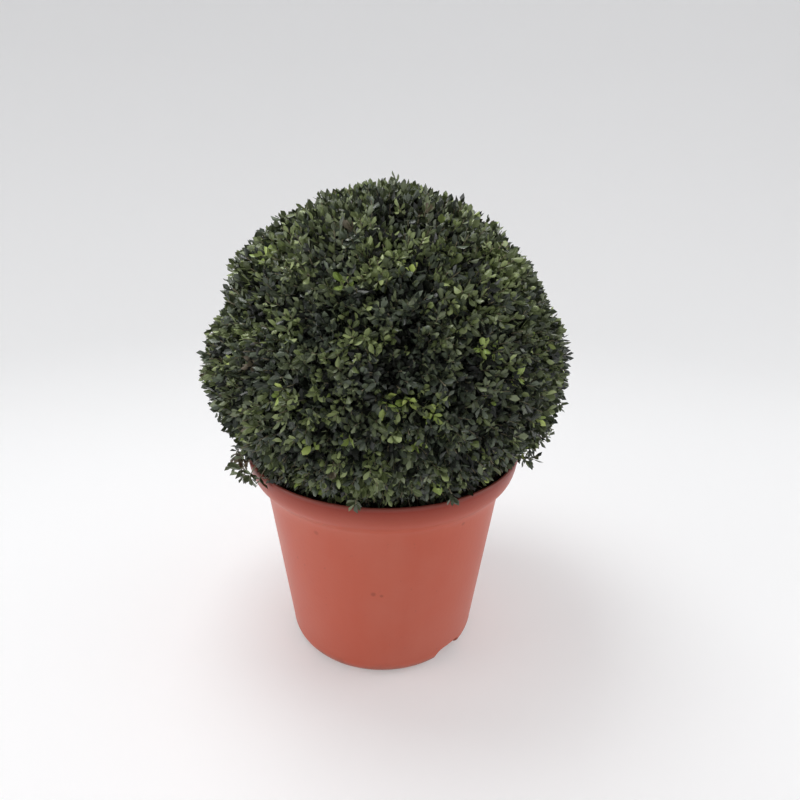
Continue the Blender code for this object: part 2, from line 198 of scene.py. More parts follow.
def maths(tree, operation, *values):
    """The output of one Math node."""
    return place(tree, "ShaderNodeMath", dict(enumerate(values)), operation=operation).outputs[0]


def mixed(tree, share, first, second):
    """The output of a colour mix from first to second."""
    inputs = {0: share, 6: first, 7: second}
    return place(tree, "ShaderNodeMix", inputs, data_type="RGBA").outputs[2]


def ranged(tree, value, low, high, new_low, new_high):
    """The output of a clamped Map Range node."""
    inputs = {0: value, 1: low, 2: high, 3: new_low, 4: new_high}
    return place(tree, "ShaderNodeMapRange", inputs).outputs[0]


def clouds(tree, spot, scale, detail):
    """The value of a noise that runs through space."""
    inputs = {"Vector": spot, "Scale": scale, "Detail": detail}
    return place(tree, "ShaderNodeTexNoise", inputs).outputs["Fac"]


def coordinates(tree, vector):
    """The X, Y and Z outputs of a vector."""
    return place(tree, "ShaderNodeSeparateXYZ", {0: vector}).outputs


def group(tree, used, inputs):
    """The outputs of a placed group."""
    return place(tree, "ShaderNodeGroup", inputs, node_tree=used).outputs


def started(name, specular=0.5):
    """A new material, its tree, its shader and the object's coordinates."""
    finish = bpy.data.materials.new(name)
    finish.use_nodes = True
    tree = finish.node_tree
    shader = tree.nodes["Principled BSDF"]
    shader.inputs["Specular IOR Level"].default_value = specular
    return finish, tree, shader, place(tree, "ShaderNodeTexCoord").outputs["Object"]


def raise_bump(tree, shader, height, strength=1.0):
    bump = place(tree, "ShaderNodeBump", {"Height": height, "Strength": strength, "Distance": 1.0})
    tree.links.new(bump.outputs["Normal"], shader.inputs["Normal"])


# %% [markdown]
# ## Studio
#
# A plain pale studio shows a dark plant best. The floor runs up into a round wall, so that no
# edge shows behind the plant from any side. Its paper glows a little, like a light table, which
# keeps the floor bright near the pot. Strong lamps alone could do that, but they would bleach the
# upper leaves. A small lamp hangs over the plant, a little to the left, and a broad one stands
# at each side. An even sky fills the rest.

# %% Floor and wall in one sweep
FLOOR_RADIUS = 1.35
SWEEP_RADIUS = 0.8
WALL_HEIGHT = 2.3
STUDIO_STEPS = 128
PAPER_COLOUR = (0.74, 0.74, 0.745, 1)
PAPER_ROUGHNESS = 0.9
PAPER_GLOW = 0.25
WALL_GLOW_SHARE = 0.55
WELD = 1e-6


def studio_profile():
    """(radius, height) points: the floor's middle, round the sweep, and up the wall."""
    points = [(0, 0), (FLOOR_RADIUS, 0)]
    arc = 16
    for i in range(1, arc + 1):
        angle = math.pi / 2 * i / arc
        radius = FLOOR_RADIUS + SWEEP_RADIUS * math.sin(angle)
        points.append((radius, SWEEP_RADIUS * (1 - math.cos(angle))))
    points.append((FLOOR_RADIUS + SWEEP_RADIUS, WALL_HEIGHT))
    return points


def spun(profile, steps):
    """A mesh turned about Z from (radius, height) points, with its poles and seam merged."""
    shape = bmesh.new()
    verts = [shape.verts.new((radius, 0, height)) for radius, height in profile]
    edges = [shape.edges.new(pair) for pair in zip(verts, verts[1:])]
    bmesh.ops.spin(shape, geom=verts + edges, axis=UP, cent=(0, 0, 0), steps=steps, angle=math.tau)
    bmesh.ops.remove_doubles(shape, verts=shape.verts, dist=WELD)
    bmesh.ops.recalc_face_normals(shape, faces=shape.faces)
    mesh = bpy.data.meshes.new("spun")
    shape.to_mesh(mesh)
    shape.free()
    return mesh


def studio_paper():
    """White paper that glows a little. Up the wall the glow falls to about half."""
    finish, tree, shader, spot = started("studio_paper")
    shader.inputs["Base Color"].default_value = PAPER_COLOUR
    shader.inputs["Roughness"].default_value = PAPER_ROUGHNESS
    shader.inputs["Emission Strength"].default_value = PAPER_GLOW
    glow = ranged(tree, coordinates(tree, spot)["Z"], 0.0, SWEEP_RADIUS, 1.0, WALL_GLOW_SHARE)
    tree.links.new(glow, shader.inputs["Emission Color"])
    return finish


studio = add_object("studio_floor", spun(studio_profile(), STUDIO_STEPS), studio_paper())
studio.data.shade_smooth()
print("studio:", len(studio.data.polygons), "faces")


# %% Lamps and sky
LIT_MIDDLE = Vector((0, 0, 0.28))
# Name, place, side length and watts
LAMPS = (
    ("top_light", (-0.28, 0.05, 1.35), 0.55, 7.2),
    ("left_light", (-1.50, -0.40, 0.80), 1.0, 5.0),
    ("right_light", (1.35, 0.05, 0.90), 1.0, 4.4),
)
SKY_COLOUR = (0.97, 0.98, 1.0, 1)
SKY_STRENGTH = 0.42

for name, stand, side, power in LAMPS:
    data = bpy.data.lights.new(name, "AREA")
    data.size = side
    data.energy = power
    lamp = bpy.data.objects.new(name, data)
    lamp.location = stand
    lamp.rotation_euler = (LIT_MIDDLE - lamp.location).to_track_quat("-Z", "Y").to_euler()
    scene.collection.objects.link(lamp)

scene.world = bpy.data.worlds.new("studio_sky")
scene.world.use_nodes = True
sky = scene.world.node_tree.nodes["Background"]
sky.inputs["Color"].default_value = SKY_COLOUR
sky.inputs["Strength"].default_value = SKY_STRENGTH
scene.view_settings.view_transform = "Standard"
print("lamps:", ", ".join(lamp[0] for lamp in LAMPS))

# %% [markdown]
# ## Shared shader groups
#
# Moulded plastic, bark, soil and leaves all vary in tone from place to place. One group makes
# that mottling: noise blends two colours and moves the roughness a little. It is built once and
# placed in each material with its own colours and scale. A second group puts fine grain into
# the bump of pot, bark and soil. `mottled` and `grained` place them and link them to a shader.


# %% Mottling and grain
def build_mottling():
    colour = "NodeSocketColor"
    number = "NodeSocketFloat"
    tree, given, result = new_tree(
        "mottling",
        "ShaderNodeTree",
        [
            ("Vector", "NodeSocketVector", None),
            ("Main Colour", colour, (0.5, 0.5, 0.5, 1)),
            ("Patch Colour", colour, (0.3, 0.3, 0.3, 1)),
            ("Scale", number, 10.0),
            ("Contrast", number, 0.2),
            ("Roughness", number, 0.5),
            ("Roughness Spread", number, 0.1),
        ],
        [("Colour", colour), ("Roughness", number)],
    )
    cloud = clouds(tree, given["Vector"], given["Scale"], 4.0)
    low = maths(tree, "SUBTRACT", 0.5, given["Contrast"])
    high = maths(tree, "ADD", 0.5, given["Contrast"])
    mask = ranged(tree, cloud, low, high, 0.0, 1.0)
    colours = mixed(tree, mask, given["Main Colour"], given["Patch Colour"])
    spread = maths(tree, "SUBTRACT", cloud, 0.5)
    spread = maths(tree, "MULTIPLY", spread, given["Roughness Spread"])
    tree.links.new(colours, result["Colour"])
    tree.links.new(maths(tree, "ADD", given["Roughness"], spread), result["Roughness"])
    return tree


def build_grain():
    number = "NodeSocketFloat"
    tree, given, result = new_tree(
        "grain",
        "ShaderNodeTree",
        [("Vector", "NodeSocketVector", None), ("Scale", number, 400.0), ("Depth", number, 0.0002)],
        [("Height", number)],
    )
    cloud = clouds(tree, given["Vector"], given["Scale"], 3.0)
    tree.links.new(maths(tree, "MULTIPLY", cloud, given["Depth"]), result["Height"])
    return tree


MOTTLING = build_mottling()
GRAIN = build_grain()


def mottled(tree, shader, spot, main, patch, scale, contrast, rough, spread):
    """Places the mottling, drives the shader's roughness with it and gives its colour."""
    inputs = {
        "Vector": spot,
        "Main Colour": (*main, 1),
        "Patch Colour": (*patch, 1),
        "Scale": scale,
        "Contrast": contrast,
        "Roughness": rough,
        "Roughness Spread": spread,
    }
    mottling = group(tree, MOTTLING, inputs)
    tree.links.new(mottling["Roughness"], shader.inputs["Roughness"])
    return mottling["Colour"]


def grained(tree, shader, spot, scale, depth, strength=1.0):
    """Places the grain and drives the shader's bump with it."""
    grain = group(tree, GRAIN, {"Vector": spot, "Scale": scale, "Depth": depth})
    raise_bump(tree, shader, grain["Height"], strength)


print("groups:", MOTTLING.name, GRAIN.name)

# %% [markdown]
# ## The pot
#
# A nursery pot is blown or moulded in thin plastic. Its wall rises straight from a rounded heel,
# then flares into a collar that ends in a round lip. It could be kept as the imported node, but
# forty flat steps show at the rim, so the same profile is turned again here with a fine step.
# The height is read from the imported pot, and the other sizes are those of the source. A collar
# that meets the wall in a crease would look like sheet metal, so the outside line is eased.

# %% Pot sizes
POT_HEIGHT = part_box("pot")[1].z
RIM_RADIUS = 0.146
POT_WALL = 0.0026
POT_STEPS = 144
FOOT_RADIUS = 0.091
HEEL_RADIUS = 0.1057
HEEL_HEIGHT = 0.018
NECK_RADIUS = 0.1291
NECK_HEIGHT = 0.199
MOUTH_RADIUS = 0.1415
LIP_ROUND = 0.003
COLLAR_RISE = Vector((0.003, 0.003))
COLLAR_BELLY = Vector((0.003, -0.030))
NECK_EASINGS = 60
EASING = 0.5
CHANNEL_INNER = 0.072
CHANNEL_HEIGHT = 0.0195
ARCH_AZIMUTH = math.radians(-43.5)
ARCH_WIDTH = 0.040
ARCH_HEIGHT = 0.0175
ARCH_DEPTH = 0.030
ARCH_SHOULDER = 0.5
ARCH_POINTS = 25
CREASE_ANGLE = math.radians(38)
print(f"pot {POT_HEIGHT * 1000:.0f} mm high, {RIM_RADIUS * 2000:.0f} mm across")


# %% Pot profile
def heel(inset, count):
    """The rounded heel from the ground up, moved in by inset."""
    points = []
    for i in range(count):
        angle = math.pi / 2 * i / (count - 1)
        radius = FOOT_RADIUS + (HEEL_RADIUS - FOOT_RADIUS) * math.sin(angle)
        points.append(Vector((radius - inset, HEEL_HEIGHT * (1 - math.cos(angle)))))
    return points


def collar(inset, count):
    """The flared collar from the neck up to the lip, moved in by inset."""
    away = Vector((-inset, 0))
    neck = Vector((NECK_RADIUS, NECK_HEIGHT)) + away
    edge = Vector((RIM_RADIUS, POT_HEIGHT - LIP_ROUND)) + away
    return bezier(neck, neck + COLLAR_RISE, edge + COLLAR_BELLY, edge, count)


def lip(count):
    """The half-round top of the rim, from inside to outside, without its ends."""
    middle = (RIM_RADIUS + MOUTH_RADIUS) / 2
    half = (RIM_RADIUS - MOUTH_RADIUS) / 2
    points = []
    for i in range(1, count - 1):
        angle = math.pi * (1 - i / (count - 1))
        height = POT_HEIGHT - LIP_ROUND + LIP_ROUND * math.sin(angle)
        points.append(Vector((middle + half * math.cos(angle), height)))
    return points


def eased(points):
    """The same line with its corners eased: each inner point moves towards its neighbours."""
    middles = [(a + c) / 2 for a, c in zip(points, points[2:])]
    moved = [point.lerp(middle, EASING) for point, middle in zip(points[1:-1], middles)]
    return [points[0], *moved, points[-1]]


def straight(a, b, count):
    """Points from a to b without its ends."""
    return [a.lerp(b, i / count) for i in range(1, count)]


def pot_profile():
    """The section of the pot's shell, from the axis inside to the axis underneath.

    The last number in each call is how many points that part of the line gets.
    """
    step = CHANNEL_INNER - POT_WALL
    shelf = CHANNEL_HEIGHT + POT_WALL
    inside = collar(RIM_RADIUS - MOUTH_RADIUS, 16)
    foot_inside = Vector((HEEL_RADIUS - POT_WALL, shelf))
    toe = list(reversed(heel(0, 14)))
    flare = list(reversed(collar(0, 24)))
    outside = [*flare, *straight(flare[-1], toe[0], 72)]
    for _ in range(NECK_EASINGS):
        outside = eased(outside)
    return [
        Vector((0, POT_WALL)),
        Vector((step, POT_WALL)),
        Vector((step, shelf)),
        foot_inside,
        *straight(foot_inside, inside[0], 12),
        *inside,
        *lip(11),
        *outside,
        *toe,
        *heel(POT_WALL, 8)[:-1],
        Vector((HEEL_RADIUS - POT_WALL, CHANNEL_HEIGHT)),
        Vector((CHANNEL_INNER, CHANNEL_HEIGHT)),
        Vector((CHANNEL_INNER, 0)),
        Vector((0, 0)),
    ]


# %% [markdown]
# Two drain arches are cut through the foot, opposite each other. Each cutter is a short bar with
# a round-shouldered section, built once from an outline and turned to its azimuth.


# %% Arch cutters
def arch_cutter(azimuth):
    outward = Vector((math.cos(azimuth), math.sin(azimuth), 0))
    side = UP.cross(outward)
    shape = bmesh.new()
    half = ARCH_WIDTH / 2
    outline = [(-half, -ARCH_HEIGHT / 2), (half, -ARCH_HEIGHT / 2)]
    for i in range(ARCH_POINTS):
        angle = math.pi * i / (ARCH_POINTS - 1)
        across = math.copysign(abs(math.cos(angle)) ** ARCH_SHOULDER, math.cos(angle))
        outline.append((half * across, ARCH_HEIGHT * math.sin(angle) ** ARCH_SHOULDER))
    near = outward * (FOOT_RADIUS - ARCH_DEPTH / 2)
    verts = [shape.verts.new(near + side * across + UP * height) for across, height in outline]
    face = shape.faces.new(verts)
    pushed = bmesh.ops.extrude_face_region(shape, geom=[face])["geom"]
    moved = [item for item in pushed if isinstance(item, bmesh.types.BMVert)]
    bmesh.ops.translate(shape, verts=moved, vec=outward * ARCH_DEPTH)
    bmesh.ops.recalc_face_normals(shape, faces=shape.faces)
    mesh = bpy.data.meshes.new("arch")
    shape.to_mesh(mesh)
    shape.free()
    return add_object("arch_cutter", mesh)


def build_pot(finish):
    pot = add_object("pot_shell", spun(pot_profile(), POT_STEPS), finish)
    cutters = [arch_cutter(ARCH_AZIMUTH + math.pi * index) for index in range(2)]
    for index, cutter in enumerate(cutters):
        cut = pot.modifiers.new(f"drain_arch_{index + 1}", "BOOLEAN")
        cut.operation = "DIFFERENCE"
        cut.object = cutter
    baked(pot)
    for cutter in cutters:
        bpy.data.objects.remove(cutter, do_unlink=True)
    pot.data.shade_smooth()
    pot.data.set_sharp_from_angle(angle=CREASE_ANGLE)
    return pot


# %% [markdown]
# ### Pot plastic
#
# Terracotta-coloured polypropylene is one even colour with a soft satin gloss. What gives it
# away as plastic are faint upright flow streaks, a paler bloom and a few small marks in the wall.
# Under the crown the collar gets a painted shade, a deeper colour that stands in for the crown's
# shadow. The lip's top is paler, partly dust and partly a painted highlight, and the foot is darker
# brown near the ground. The streaks are noise that a Mapping node stretches upwards, the marks are
# spheres round a few places, and the rest follows the height above the floor.


# %% Pot plastic material
PLASTIC_COLOUR = (0.50, 0.090, 0.047)
STREAK_COLOUR = (0.52, 0.112, 0.064)
BLOOM_COLOUR = (0.54, 0.165, 0.115, 1)
# Painted shade: a deeper red on the collar that stands in for the crown's shadow
PAINTED_SHADE_COLOUR = (0.25, 0.023, 0.008, 1)
PAINTED_SHADE_BAND = (0.036, 0.004)  # below the top of the lip
# Darker brown towards the ground, with a wandering upper edge
FOOT_DARK_COLOUR = (0.17, 0.065, 0.042, 1)
FOOT_DARK_BAND = (0.001, 0.014)  # above the ground
FOOT_DARK_SHARE = 0.75
FOOT_DARK_WANDER = 0.030
SPECK_COLOUR = (0.20, 0.06, 0.04, 1)
MARK_COLOUR = (0.22, 0.040, 0.022, 1)
# Dust and a painted highlight: the top of the lip is paler, partly dust and partly light caught on top
LIP_DUST_AND_HIGHLIGHT_COLOUR = (0.27, 0.15, 0.13, 1)
LIP_DUST_AND_HIGHLIGHT_BAND = (0.004, 0.001)  # below the top of the lip
LIP_DUST_AND_HIGHLIGHT_SHARE = 0.28
# Azimuth in degrees, height, radius and darkness of small marks in the wall
WALL_MARKS = (
    (-119, 0.184, 0.0035, 0.35),
    (-51, 0.190, 0.0030, 0.45),
    (-93, 0.118, 0.0034, 0.5),
    (-89, 0.116, 0.0024, 0.5),
)
WALL_SLOPE = (NECK_RADIUS - HEEL_RADIUS) / (NECK_HEIGHT - HEEL_HEIGHT)


def marked(tree, spot, colour):
    """The colour with a small dark mark at each of the wall's marked places."""
    for azimuth, height, radius, darkness in WALL_MARKS:
        out = NECK_RADIUS - WALL_SLOPE * (NECK_HEIGHT - height)
        middle = direction_of(azimuth, 0) * out + UP * height
        off = place(tree, "ShaderNodeVectorMath", {0: spot, 1: middle}, operation="DISTANCE")
        mask = ranged(tree, off.outputs["Value"], radius * 0.4, radius, darkness, 0.0)
        colour = mixed(tree, mask, colour, MARK_COLOUR)
    return colour


def pot_plastic():
    finish, tree, shader, spot = started("pot_plastic", 0.35)
    stretched = place(tree, "ShaderNodeMapping", {"Vector": spot, "Scale": (1, 1, 0.08)}).outputs[0]
    colours = PLASTIC_COLOUR, STREAK_COLOUR
    colour = mottled(tree, shader, stretched, *colours, 28.0, 0.30, 0.40, 0.16)
    bloom = ranged(tree, clouds(tree, spot, 9.0, 5.0), 0.45, 0.75, 0.0, 0.35)
    colour = mixed(tree, bloom, colour, BLOOM_COLOUR)
    height = coordinates(tree, spot)["Z"]
    # Painted shade: the collar darkens towards the lip, where the crown's shadow falls
    low, high = (POT_HEIGHT - below for below in PAINTED_SHADE_BAND)
    deep = maths(tree, "POWER", ranged(tree, height, low, high, 0.0, 1.0), 1.5)
    colour = mixed(tree, deep, colour, PAINTED_SHADE_COLOUR)
    # Darker brown near the ground
    wander = maths(tree, "SUBTRACT", clouds(tree, spot, 45.0, 6.0), 0.5)
    foot_height = maths(tree, "ADD", height, maths(tree, "MULTIPLY", wander, -FOOT_DARK_WANDER))
    colour = mixed(tree, ranged(tree, foot_height, *FOOT_DARK_BAND, FOOT_DARK_SHARE, 0.0), colour, FOOT_DARK_COLOUR)
    specks = ranged(tree, clouds(tree, spot, 170.0, 2.0), 0.70, 0.80, 0.0, 0.3)
    colour = marked(tree, spot, mixed(tree, specks, colour, SPECK_COLOUR))
    # Dust and a painted highlight on the top of the lip
    low, high = (POT_HEIGHT - below for below in LIP_DUST_AND_HIGHLIGHT_BAND)
    colour = mixed(tree, ranged(tree, height, low, high, 0.0, LIP_DUST_AND_HIGHLIGHT_SHARE), colour, LIP_DUST_AND_HIGHLIGHT_COLOUR)
    tree.links.new(colour, shader.inputs["Base Color"])
    grained(tree, shader, spot, 260.0, 0.00025, 0.5)
    return finish


pot = build_pot(pot_plastic())
declare(pot, "pot_plastic", "pot")

# %% [markdown]
# ## Potting mix
#
# The mix is moist peat with bark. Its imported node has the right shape, so it stays and gets a
# dark, crumbly material. A flat top would still look like card where light falls in beside the
# rim, so crumbs of bark are scattered over it. That is what Geometry Nodes do well: points on
# the top faces, a lump on each, a random turn and size, and then real geometry in one mesh. The
# crumbs keep clear of the pot's wall, which is too thin to hide one that pokes through.


# %% Potting mix material
def potting_mix():
    finish, tree, shader, spot = started("potting_mix", 0.25)
    colours = (0.030, 0.019, 0.012), (0.075, 0.045, 0.026)
    colour = mottled(tree, shader, spot, *colours, 190.0, 0.12, 0.92, 0.1)
    tree.links.new(colour, shader.inputs["Base Color"])
    grained(tree, shader, spot, 420.0, 0.0012)
    return finish


MIX = potting_mix()
medium = frame["nodes"]["growing_medium"]
medium.data.materials.clear()
medium.data.materials.append(MIX)
print("mix:", medium.name, "keeps its shape")


# %% Run a tree on a mesh
def geometry_tree(name, inputs):
    """Starts a Geometry Nodes tree with a Geometry input and output and further named inputs."""
    shape = "NodeSocketGeometry"
    inputs = [("Geometry", shape, None), *inputs]
    return new_tree(name, "GeometryNodeTree", inputs, [("Geometry", shape)])


def where(tree):
    """The position of each point."""
    return place(tree, "GeometryNodeInputPosition").outputs[0]


def stored(tree, name, kind="FLOAT"):
    """A value that each point of the source mesh carries."""
    inputs = {"Name": name}
    return place(tree, "GeometryNodeInputNamedAttribute", inputs, data_type=kind).outputs[0]


def vector_maths(tree, operation, first, second):
    """The output of one Vector Math node. Scale takes a number as its second value."""
    inputs = {0: first, "Scale" if operation == "SCALE" else 1: second}
    return place(tree, "ShaderNodeVectorMath", inputs, operation=operation).outputs[0]


def close_tree(tree, geometry, given, result, smooth=True):
    """Ends a tree with real geometry and the given material."""
    real = place(tree, "GeometryNodeRealizeInstances", {0: geometry}).outputs[0]
    if smooth:
        real = place(tree, "GeometryNodeSetShadeSmooth", {"Geometry": real}).outputs[0]
    finish = {"Geometry": real, "Material": given["Material"]}
    tree.links.new(place(tree, "GeometryNodeSetMaterial", finish).outputs[0], result[0])
    return tree


def grown(name, source, tree, values):
    """The plain mesh object that a tree makes from a source mesh."""
    result = add_object(name, source)
    modifier = result.modifiers.new(tree.name, "NODES")
    modifier.node_group = tree
    for socket in tree.interface.items_tree:
        if socket.in_out == "INPUT" and socket.name in values:
            modifier[socket.identifier] = values[socket.name]
    return baked(result)


# %% Crumbs on the mix
def crumb_tree():
    number = "NodeSocketFloat"
    inputs = [
        ("Density", number, 30000.0),
        ("Least Size", number, 0.0012),
        ("Greatest Size", number, 0.0042),
        ("Reach", number, 0.12),
        ("Seed", "NodeSocketInt", 3),
        ("Material", "NodeSocketMaterial", None),
    ]
    tree, given, result = geometry_tree("crumbs", inputs)
    facing = coordinates(tree, place(tree, "GeometryNodeInputNormal").outputs[0])["Z"]
    top = place(tree, "FunctionNodeCompare", {0: facing, 1: 0.5}, operation="GREATER_THAN")
    scatter = {
        "Mesh": given["Geometry"],
        "Selection": top.outputs[0],
        "Density": given["Density"],
        "Seed": given["Seed"],
    }
    points = place(tree, "GeometryNodeDistributePointsOnFaces", scatter).outputs["Points"]
    spot = coordinates(tree, where(tree))
    across = maths(tree, "MULTIPLY", spot["X"], spot["X"])
    across = maths(tree, "ADD", across, maths(tree, "MULTIPLY", spot["Y"], spot["Y"]))
    outer = {0: maths(tree, "SQRT", across), 1: given["Reach"]}
    outer = place(tree, "FunctionNodeCompare", outer, operation="GREATER_THAN").outputs[0]
    kept = {"Geometry": points, "Selection": outer}
    points = place(tree, "GeometryNodeDeleteGeometry", kept).outputs[0]
    lump = place(tree, "GeometryNodeMeshIcoSphere", {"Radius": 1.0, "Subdivisions": 1}).outputs["Mesh"]
    turn = {0: (0, 0, 0), 1: (6.3, 6.3, 6.3)}
    turn = place(tree, "FunctionNodeRandomValue", turn, data_type="FLOAT_VECTOR").outputs[0]
    stretch = {0: (0.5, 0.35, 0.3), 1: (1.6, 1.0, 0.9)}
    stretch = place(tree, "FunctionNodeRandomValue", stretch, data_type="FLOAT_VECTOR").outputs[0]
    size = {2: given["Least Size"], 3: given["Greatest Size"], "Seed": given["Seed"]}
    size = place(tree, "FunctionNodeRandomValue", size).outputs[1]
    scale = vector_maths(tree, "SCALE", stretch, size)
    put = {"Points": points, "Instance": lump, "Rotation": turn, "Scale": scale}
    put = place(tree, "GeometryNodeInstanceOnPoints", put).outputs[0]
    return close_tree(tree, put, given, result, smooth=False)


CRUMB_MARGIN = 0.009
crumb_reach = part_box("growing_medium")[1].x - CRUMB_MARGIN
crumb_values = {"Reach": crumb_reach, "Material": MIX}
crumbs = grown("mix_crumbs", medium.data.copy(), crumb_tree(), crumb_values)
declare(crumbs, "potting_mix")

# %% [markdown]
# ## How the plant grows
#
# A clipped ball is a tree in small. A short stem forks into boughs, the boughs into branches,
# the branches into twigs, and the twigs end in leafy shoots at the surface that the shears left.
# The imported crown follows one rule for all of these, and so does this lesson, with more tiers.
# The tips of a tier are spread evenly over the crown's space at a share of its reach, and each
# limb starts on the nearest limb of the tier before. The space is a squat round form with a few
# low swellings, cut off above the mix and kept clear of the rim.

# %% The crown's space
CROWN_CENTRE = Vector((0, 0, 0.316))
CROWN_RADIUS = 0.184
CROWN_RISE = 0.189
CROWN_DROP = 0.139
CROWN_POWER = 1.87
CROWN_FLOOR = 0.2155
RIM_CLEARANCE = 0.004
HANGING = 1.0  # the stray of a shoot that may leave the space
# Azimuth and elevation in degrees, height (negative in a hollow), spread in degrees
SWELLINGS = (
    (194, 2, 0.0065, 15),
    (188, 25, -0.0095, 12),
    (184, 40, 0.0080, 13),
    (203, -14, -0.0095, 12),
    (217, -33, 0.0070, 9),
    (-12, 6, 0.0060, 24),
    (-60, 35, 0.0035, 28),
    (100, 10, 0.0040, 30),
    (-120, -8, 0.0030, 24),
)
GOLDEN_ANGLE = math.pi * (3 - math.sqrt(5))
SWELLING_DIRECTIONS = [(direction_of(a, e), h, math.radians(s)) for a, e, h, s in SWELLINGS]


def reach(direction):
    """How far the clipped surface lies from the crown's centre in a unit direction."""
    across = math.hypot(direction.x, direction.y) / CROWN_RADIUS
    along = abs(direction.z) / (CROWN_RISE if direction.z > 0 else CROWN_DROP)
    result = (across**CROWN_POWER + along**CROWN_POWER) ** (-1 / CROWN_POWER)
    for middle, height, spread in SWELLING_DIRECTIONS:
        off = direction.angle(middle) / spread
        result += height * math.exp(-off * off)
    return result


def in_space(point, stray=0.0):
    """Whether a point is inside the clipped surface and clear of the pot and its filling."""
    if stray == HANGING:
        over_lip = point.z > POT_HEIGHT + RIM_CLEARANCE / 2
        return over_lip or math.hypot(point.x, point.y) > RIM_RADIUS + RIM_CLEARANCE / 2
    offset = point - CROWN_CENTRE
    if offset.length > reach(offset.normalized()) + stray:
        return False
    if point.z < CROWN_FLOOR:
        return False
    over_rim = point.z > POT_HEIGHT + RIM_CLEARANCE
    return over_rim or math.hypot(point.x, point.y) < MOUTH_RADIUS - 2 * RIM_CLEARANCE


def outward_of(point):
    return (point - CROWN_CENTRE).normalized()


print(f"crown reach {reach(Vector((1, 0, 0))) * 1000:.0f} mm to the side, {reach(UP) * 1000:.0f} mm up")


# %% [markdown]
# A limb is a list of points with a radius at each. It leaves its parent in the parent's
# direction, bends, and arrives pointing outwards, which one cubic curve does. A limb that ends
# outside the space is never made.


# %% Limbs and their tips
LEAVING_PULL = 0.35  # shares of a limb's length over which its two ends keep their direction
ARRIVING_PULL = 0.3


class Limb:
    """A tapering limb along points. Its stray is how far past the surface it may grow."""

    def __init__(self, points, thick, thin, stray=0.0):
        self.points = points
        last = len(points) - 1
        self.radii = [thick + (thin - thick) * i / last for i in range(last + 1)]
        self.length = sum((b - a).length for a, b in zip(points, points[1:]))
        self.stray = stray
        self.parent = None

    def at(self, share):
        """The point, the direction and the radius at a share of the limb's length."""
        place_along = share * (len(self.points) - 1)
        i = min(int(place_along), len(self.points) - 2)
        part = place_along - i
        a, b = self.points[i : i + 2]
        radius = self.radii[i] + (self.radii[i + 1] - self.radii[i]) * part
        return a.lerp(b, part), (b - a).normalized(), radius


def spread_tips(count, share, spread, jitter, chance):
    """Tips spread evenly over the crown's space at a share of its reach, a little jittered."""
    tips = []
    for i in range(count):
        height = 1 - 2 * (i + 0.5) / count
        flat = math.sqrt(1 - height * height)
        azimuth = GOLDEN_ANGLE * i
        direction = Vector((flat * math.cos(azimuth), flat * math.sin(azimuth), height))
        wander = Vector((chance.gauss(0, 1), chance.gauss(0, 1), chance.gauss(0, 1)))
        direction = (direction + wander * jitter / math.sqrt(count)).normalized()
        far = reach(direction) * share * chance.uniform(1 - spread, 1 + spread)
        tip = CROWN_CENTRE + direction * far
        if in_space(tip):
            tips.append(tip)
    return tips


def nearest_limb(point, limbs):
    return min(limbs, key=lambda limb: (limb.points[-1] - point).length_squared)


def limb_to(tip, parents, leave_after, sizes, count, chance, stray=0.0):
    """A limb that leaves its nearest parent past a share of its length and runs to the tip."""
    parent = nearest_limb(tip, parents)
    start, leaving, radius = parent.at(chance.uniform(leave_after, 1))
    length = (tip - start).length
    arriving = outward_of(tip)
    first = start + leaving * length * LEAVING_PULL
    second = tip - arriving * length * ARRIVING_PULL
    points = bezier(start, first, second, tip, count)
    limb = Limb(points, min(sizes[0], radius), sizes[1], stray)
    limb.parent = parent
    return limb


# %% [markdown]
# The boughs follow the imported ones: the same directions from the same fork, with the same sag.
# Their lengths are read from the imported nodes, so the branches start where the solids end.

# %% Stem and boughs
FORK = Vector((0, 0, 0.243))
FORK_RADIUS = 0.0125
STEM_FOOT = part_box("main_stem")[0].z
STEM_RADIUS = 0.0095
FLARE_RADIUS = 0.019
FLARE_HEIGHT = 0.012
BOUGH_COUNT = 6
BOUGH_LEAN = math.radians(54)
BOUGH_RADIUS = 0.0048
BOUGH_TIP_RADIUS = 0.0027
BOUGH_SAG = 0.0045
BOUGH_TURN = math.radians(6)
BOUGH_START = 0.06
BOUGH_POINTS = 13
KNOB_TOP = 0.85
STEM_POINTS = 26


def bough_directions():
    """One bough straight up and the others in a ring."""
    directions = [UP.copy()]
    ring = BOUGH_COUNT - 1
    for i in range(ring):
        azimuth = math.tau * i / ring + BOUGH_TURN
        flat = Vector((math.cos(azimuth), math.sin(azimuth), 0))
        directions.append(flat * math.sin(BOUGH_LEAN) + UP * math.cos(BOUGH_LEAN))
    return directions


def grow_boughs():
    boughs = []
    for index, direction in enumerate(bough_directions()):
        node = frame["nodes"][f"bough_{index + 1}"]
        far = max((vert.co - FORK).dot(direction) for vert in node.data.vertices)
        points = []
        for i in range(BOUGH_POINTS):
            t = i / (BOUGH_POINTS - 1)
            sag = BOUGH_SAG * math.sin(math.pi * t) ** 2 * (1 - direction.z)
            points.append(FORK + direction * far * (BOUGH_START + (1 - BOUGH_START) * t) - UP * sag)
        boughs.append(Limb(points, BOUGH_RADIUS, BOUGH_TIP_RADIUS))
    return boughs


